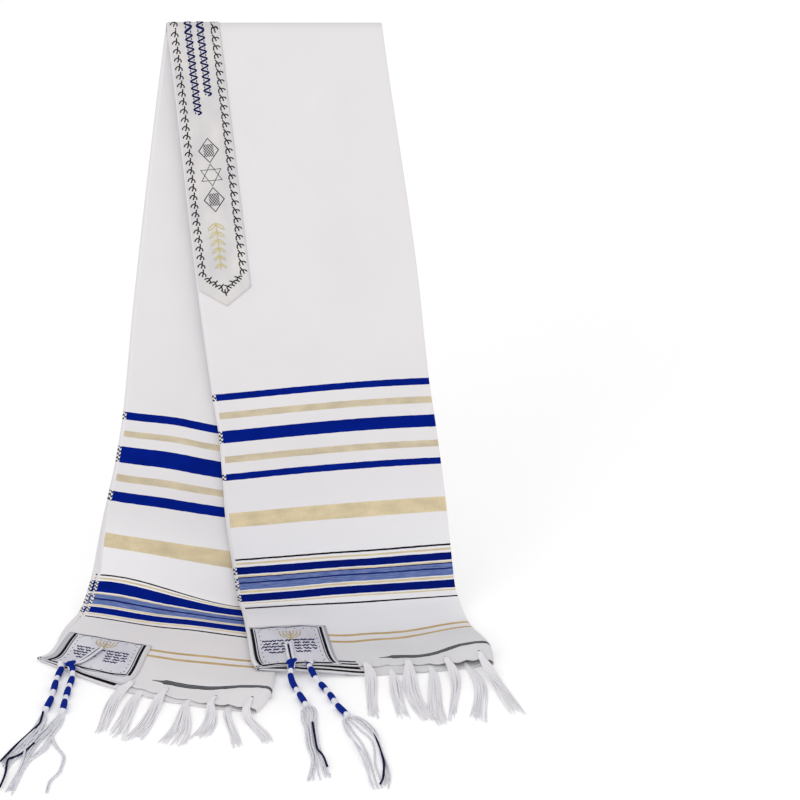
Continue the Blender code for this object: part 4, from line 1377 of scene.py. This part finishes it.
def tube(name, route, radii, look):
    """A round tube of changing radius, its V the length along it in metres."""
    along = unit(np.gradient(route, axis=0))
    side = unit(np.cross(along, [0, 0, 1.0]))
    up = np.cross(side, along)
    angles = np.linspace(0, 2 * math.pi, CORD_SIDES + 1)
    walked = walked_along(route)
    ring = side[None] * np.cos(angles)[:, None, None] + up[None] * np.sin(angles)[:, None, None]
    turns = np.broadcast_to(angles[:, None], (CORD_SIDES + 1, len(route)))
    points = route[None] + ring * radii(turns, walked[None])[..., None]
    uvs = np.stack([turns / (2 * math.pi), np.broadcast_to(walked * MM, turns.shape)], axis=-1)
    return grid_mesh(name, points, uvs, look, close=True)


def tassel_lead(tassel, fall):
    """Points of the way from a tassel's hole, or from the hem, to the start of its cord."""
    face = face_of(fall, True)
    points = []
    for u, t in tassel.lead:
        lift = WALL / 2 + LEAD_CLEAR + LEAD_RADIUS
        past = np.zeros(3)
        if t == HEM:
            lift = LEAD_RADIUS - LEAD_SINKS
            past = np.array([0.0, -LEAD_PAST_HEM, 0.0])
        row = np.array([grid_row(fall, t)])
        points.append(face.at_row(np.array([u]), row, lift)[0] + past)
    return points


def wrap_ends(tassel, length):
    """Where each winding of a cord ends, along its length."""
    ends = np.cumsum(tassel.wraps)
    return ends * length / ends[-1]


def cord_radii(tassel, length):
    """Blue windings stand thicker than white ones, and each winding is fullest in its middle."""
    ends = wrap_ends(tassel, length)
    starts = np.concatenate([[0], ends[:-1]])

    def radii(turns, walked):
        k = np.clip(np.searchsorted(ends, walked, side="right"), 0, len(ends) - 1)
        share = (walked - starts[k]) / (ends[k] - starts[k])
        plump = np.clip(np.sin(math.pi * np.clip(share, 0, 1)), 0, 1) ** 0.35
        blue = k % 2 == 0
        white = WHITE_RADIUS + WHITE_SWELL * plump
        radius = np.where(blue, BLUE_RADIUS + BLUE_SWELL * plump, white)
        return radius + GROOVE * np.cos(turns - 2 * math.pi * walked / GROOVE_PITCH)

    return radii


def on_floor(way):
    return [np.array([x, y, FLOOR + STRAND_RADIUS]) for x, y in way]


def resampled(points, count):
    """So many points, evenly spaced along a smooth way through `points`."""
    route = smooth_route(points, 1.0)
    walked = np.linspace(0, len(route) - 1, count)
    return np.stack([np.interp(walked, range(len(route)), route[:, i]) for i in range(3)], axis=-1)


def strand_routes(tassel, start):
    """Loose yarns from the end of a cord to their tips on the floor, most near either side."""
    steps = np.linspace(0, 1, STRAND_POINTS)[:, None]
    ways = (tassel.left, tassel.right)
    left, right = (resampled([start, *on_floor(way)], STRAND_POINTS) for way in ways)
    across = unit(right[-1] - left[-1])
    routes = []
    for k in range(TASSEL_STRANDS):
        share = 0.5 - 0.5 * math.cos(math.pi * k / (TASSEL_STRANDS - 1))
        wound = share + rng.normal(0, 0.12) * np.sin(math.pi * steps) ** 2
        size, phase = rng.normal(0, 0.06), rng.uniform(0, 6)
        wound += size * np.sin(9 * steps + phase) * np.sin(math.pi * steps)
        path = left * (1 - wound) + right * wound
        path += across * (share - 0.5) * STRANDS_WIDTH * (1 - steps)
        kept = round(STRAND_POINTS * rng.uniform(0.9, 1.0))
        lift, landing = rng.uniform(0, STRAND_LIFT), rng.uniform(1, 1.6)
        lift = lift * np.sin(math.pi * np.clip(steps[:, 0] * landing, 0, 1))
        path[:, 2] = np.maximum(path[:, 2], FLOOR + STRAND_RADIUS) + lift
        routes.append(path[:kept])
    if tassel.stray:
        stray = resampled([start, *on_floor(tassel.stray)], STRAND_POINTS)
        routes += [stray + across * side for side in STRAY_PAIR]
    return routes


for tassel in TASSELS:
    fall = FRONT if tassel.end == "front" else BACK
    lead = tassel_lead(tassel, fall)
    cord_points = [np.array([x, y, h - DROP]) for x, y, h in tassel.cord]
    route = smooth_route([lead[-1], *cord_points], 0.8)
    name = f"{tassel.end}_{tassel.level}"
    length = walked_along(route)[-1]
    cord = tube(f"tassel_cord_{name}", route, cord_radii(tassel, length), BLUE_WINDING)
    cord.data.materials.append(WHITE_WINDING)
    ends = wrap_ends(tassel, length) * MM
    uvs = cord.data.uv_layers[0].data
    for face in cord.data.polygons:
        walked = np.mean([uvs[i].uv[1] for i in face.loop_indices])
        face.material_index = int(np.searchsorted(ends, walked)) % 2
    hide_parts(f"tassel_{name}")
    ahead = unit(route[-1] - route[-4])
    # the knots that tie off the windings: where, which way, radius and stretch
    ties = [(route[-1] + ahead * 2.0, ahead, 3.9, 1.0), (route[0] + [2.2, 0, 1.2], ahead, 3.3, 1.0)]
    knots(f"tassel_knots_{name}", WHITE_WINDING, ties)
    routes = strand_routes(tassel, route[-1] + ahead * 4)
    dark = [resampled(on_floor(tassel.dark) + np.array([0, 0, 2.6]), 30)]
    if len(lead) > 1:
        over = smooth_route([*lead, cord_points[0]], 3.0)
        paired = [over + [side, 0, -0.4] for side in (-LEAD_APART, LEAD_APART)]
        yarn(f"tassel_lead_{name}", paired, LEAD_YARN_RADIUS, WHITE_WINDING)
        dark.append(over - [0, 0, 1.1])
        # a flat black disc at the tassel's hole is painted shade inside the hole
        eyelet = [(lead[0] - [0, 0, 2.2], (0.1, 0.2, 1.0), 2.4, 0.25)]
        knots(f"tassel_hole_shade_{name}", BLACK_THREAD, eyelet)
        wrap = [(route[3] + [-0.4, -0.6, 2.4], (1.0, 0.3, 0.3), 3.2, 2.0)]
        knots(f"tassel_wrap_{name}", BLUE_WINDING, wrap)
    yarn(f"tassel_strands_{name}", routes, STRAND_RADIUS, TASSEL_YARN, taper=0.3)
    yarn(f"tassel_dark_strands_{name}", dark, STRAND_RADIUS, DARK_YARN)

# ---------------------------------------------------------------------------------------------
# Floor, light and camera


def lay_floor():
    bm = bmesh.new()
    bmesh.ops.create_grid(bm, x_segments=1, y_segments=1, size=6)
    for vert in bm.verts:
        vert.co.z = -DROP * MM
    mesh = bpy.data.meshes.new("floor")
    bm.to_mesh(mesh)
    bm.free()
    mesh.materials.append(new_look("white studio card", "#FFFFFF", 0.9, Emission_Strength=0.09))
    floor = bpy.data.objects.new("floor", mesh)
    bpy.context.scene.collection.objects.link(floor)


lay_floor()

world = bpy.data.worlds.new("white studio")
world.use_nodes = True
world.node_tree.nodes["Background"].inputs["Color"].default_value = linear("#FFFFFF")
world.node_tree.nodes["Background"].inputs["Strength"].default_value = 0.9
bpy.context.scene.world = world


def add_light(name, place, target, size, watts):
    light = bpy.data.lights.new(name, "AREA")
    light.shape = "SQUARE"
    light.size = size
    light.energy = watts
    lamp = bpy.data.objects.new(name, light)
    bpy.context.scene.collection.objects.link(lamp)
    aim(lamp, place, target)


def aim(thing, place, target):
    thing.location = place
    thing.rotation_euler = (Vector(target) - Vector(place)).to_track_quat("-Z", "Y").to_euler()


# a broad soft light from the upper left, and a weak one low in front that lifts the shadows
add_light("front softbox", (-1.6, -2.6, 1.6), (0, 0, -0.4), 1.8, 13)
add_light("low fill", (0.05, -0.95, -0.64), (0.05, -0.1, -0.45), 0.3, 0.5)

camera = bpy.data.cameras.new("camera")
camera.sensor_width = 36
camera.lens = 239.0
camera_at = bpy.data.objects.new("camera", camera)
bpy.context.scene.collection.objects.link(camera_at)
ELEVATION, DISTANCE = math.radians(27.5), 6.12
AIM = (0.1418, 0.0, -0.4648)
aim(
    camera_at,
    (AIM[0], AIM[1] - DISTANCE * math.cos(ELEVATION), AIM[2] + DISTANCE * math.sin(ELEVATION)),
    AIM,
)
bpy.context.scene.camera = camera_at
bpy.context.scene.view_settings.view_transform = "Standard"
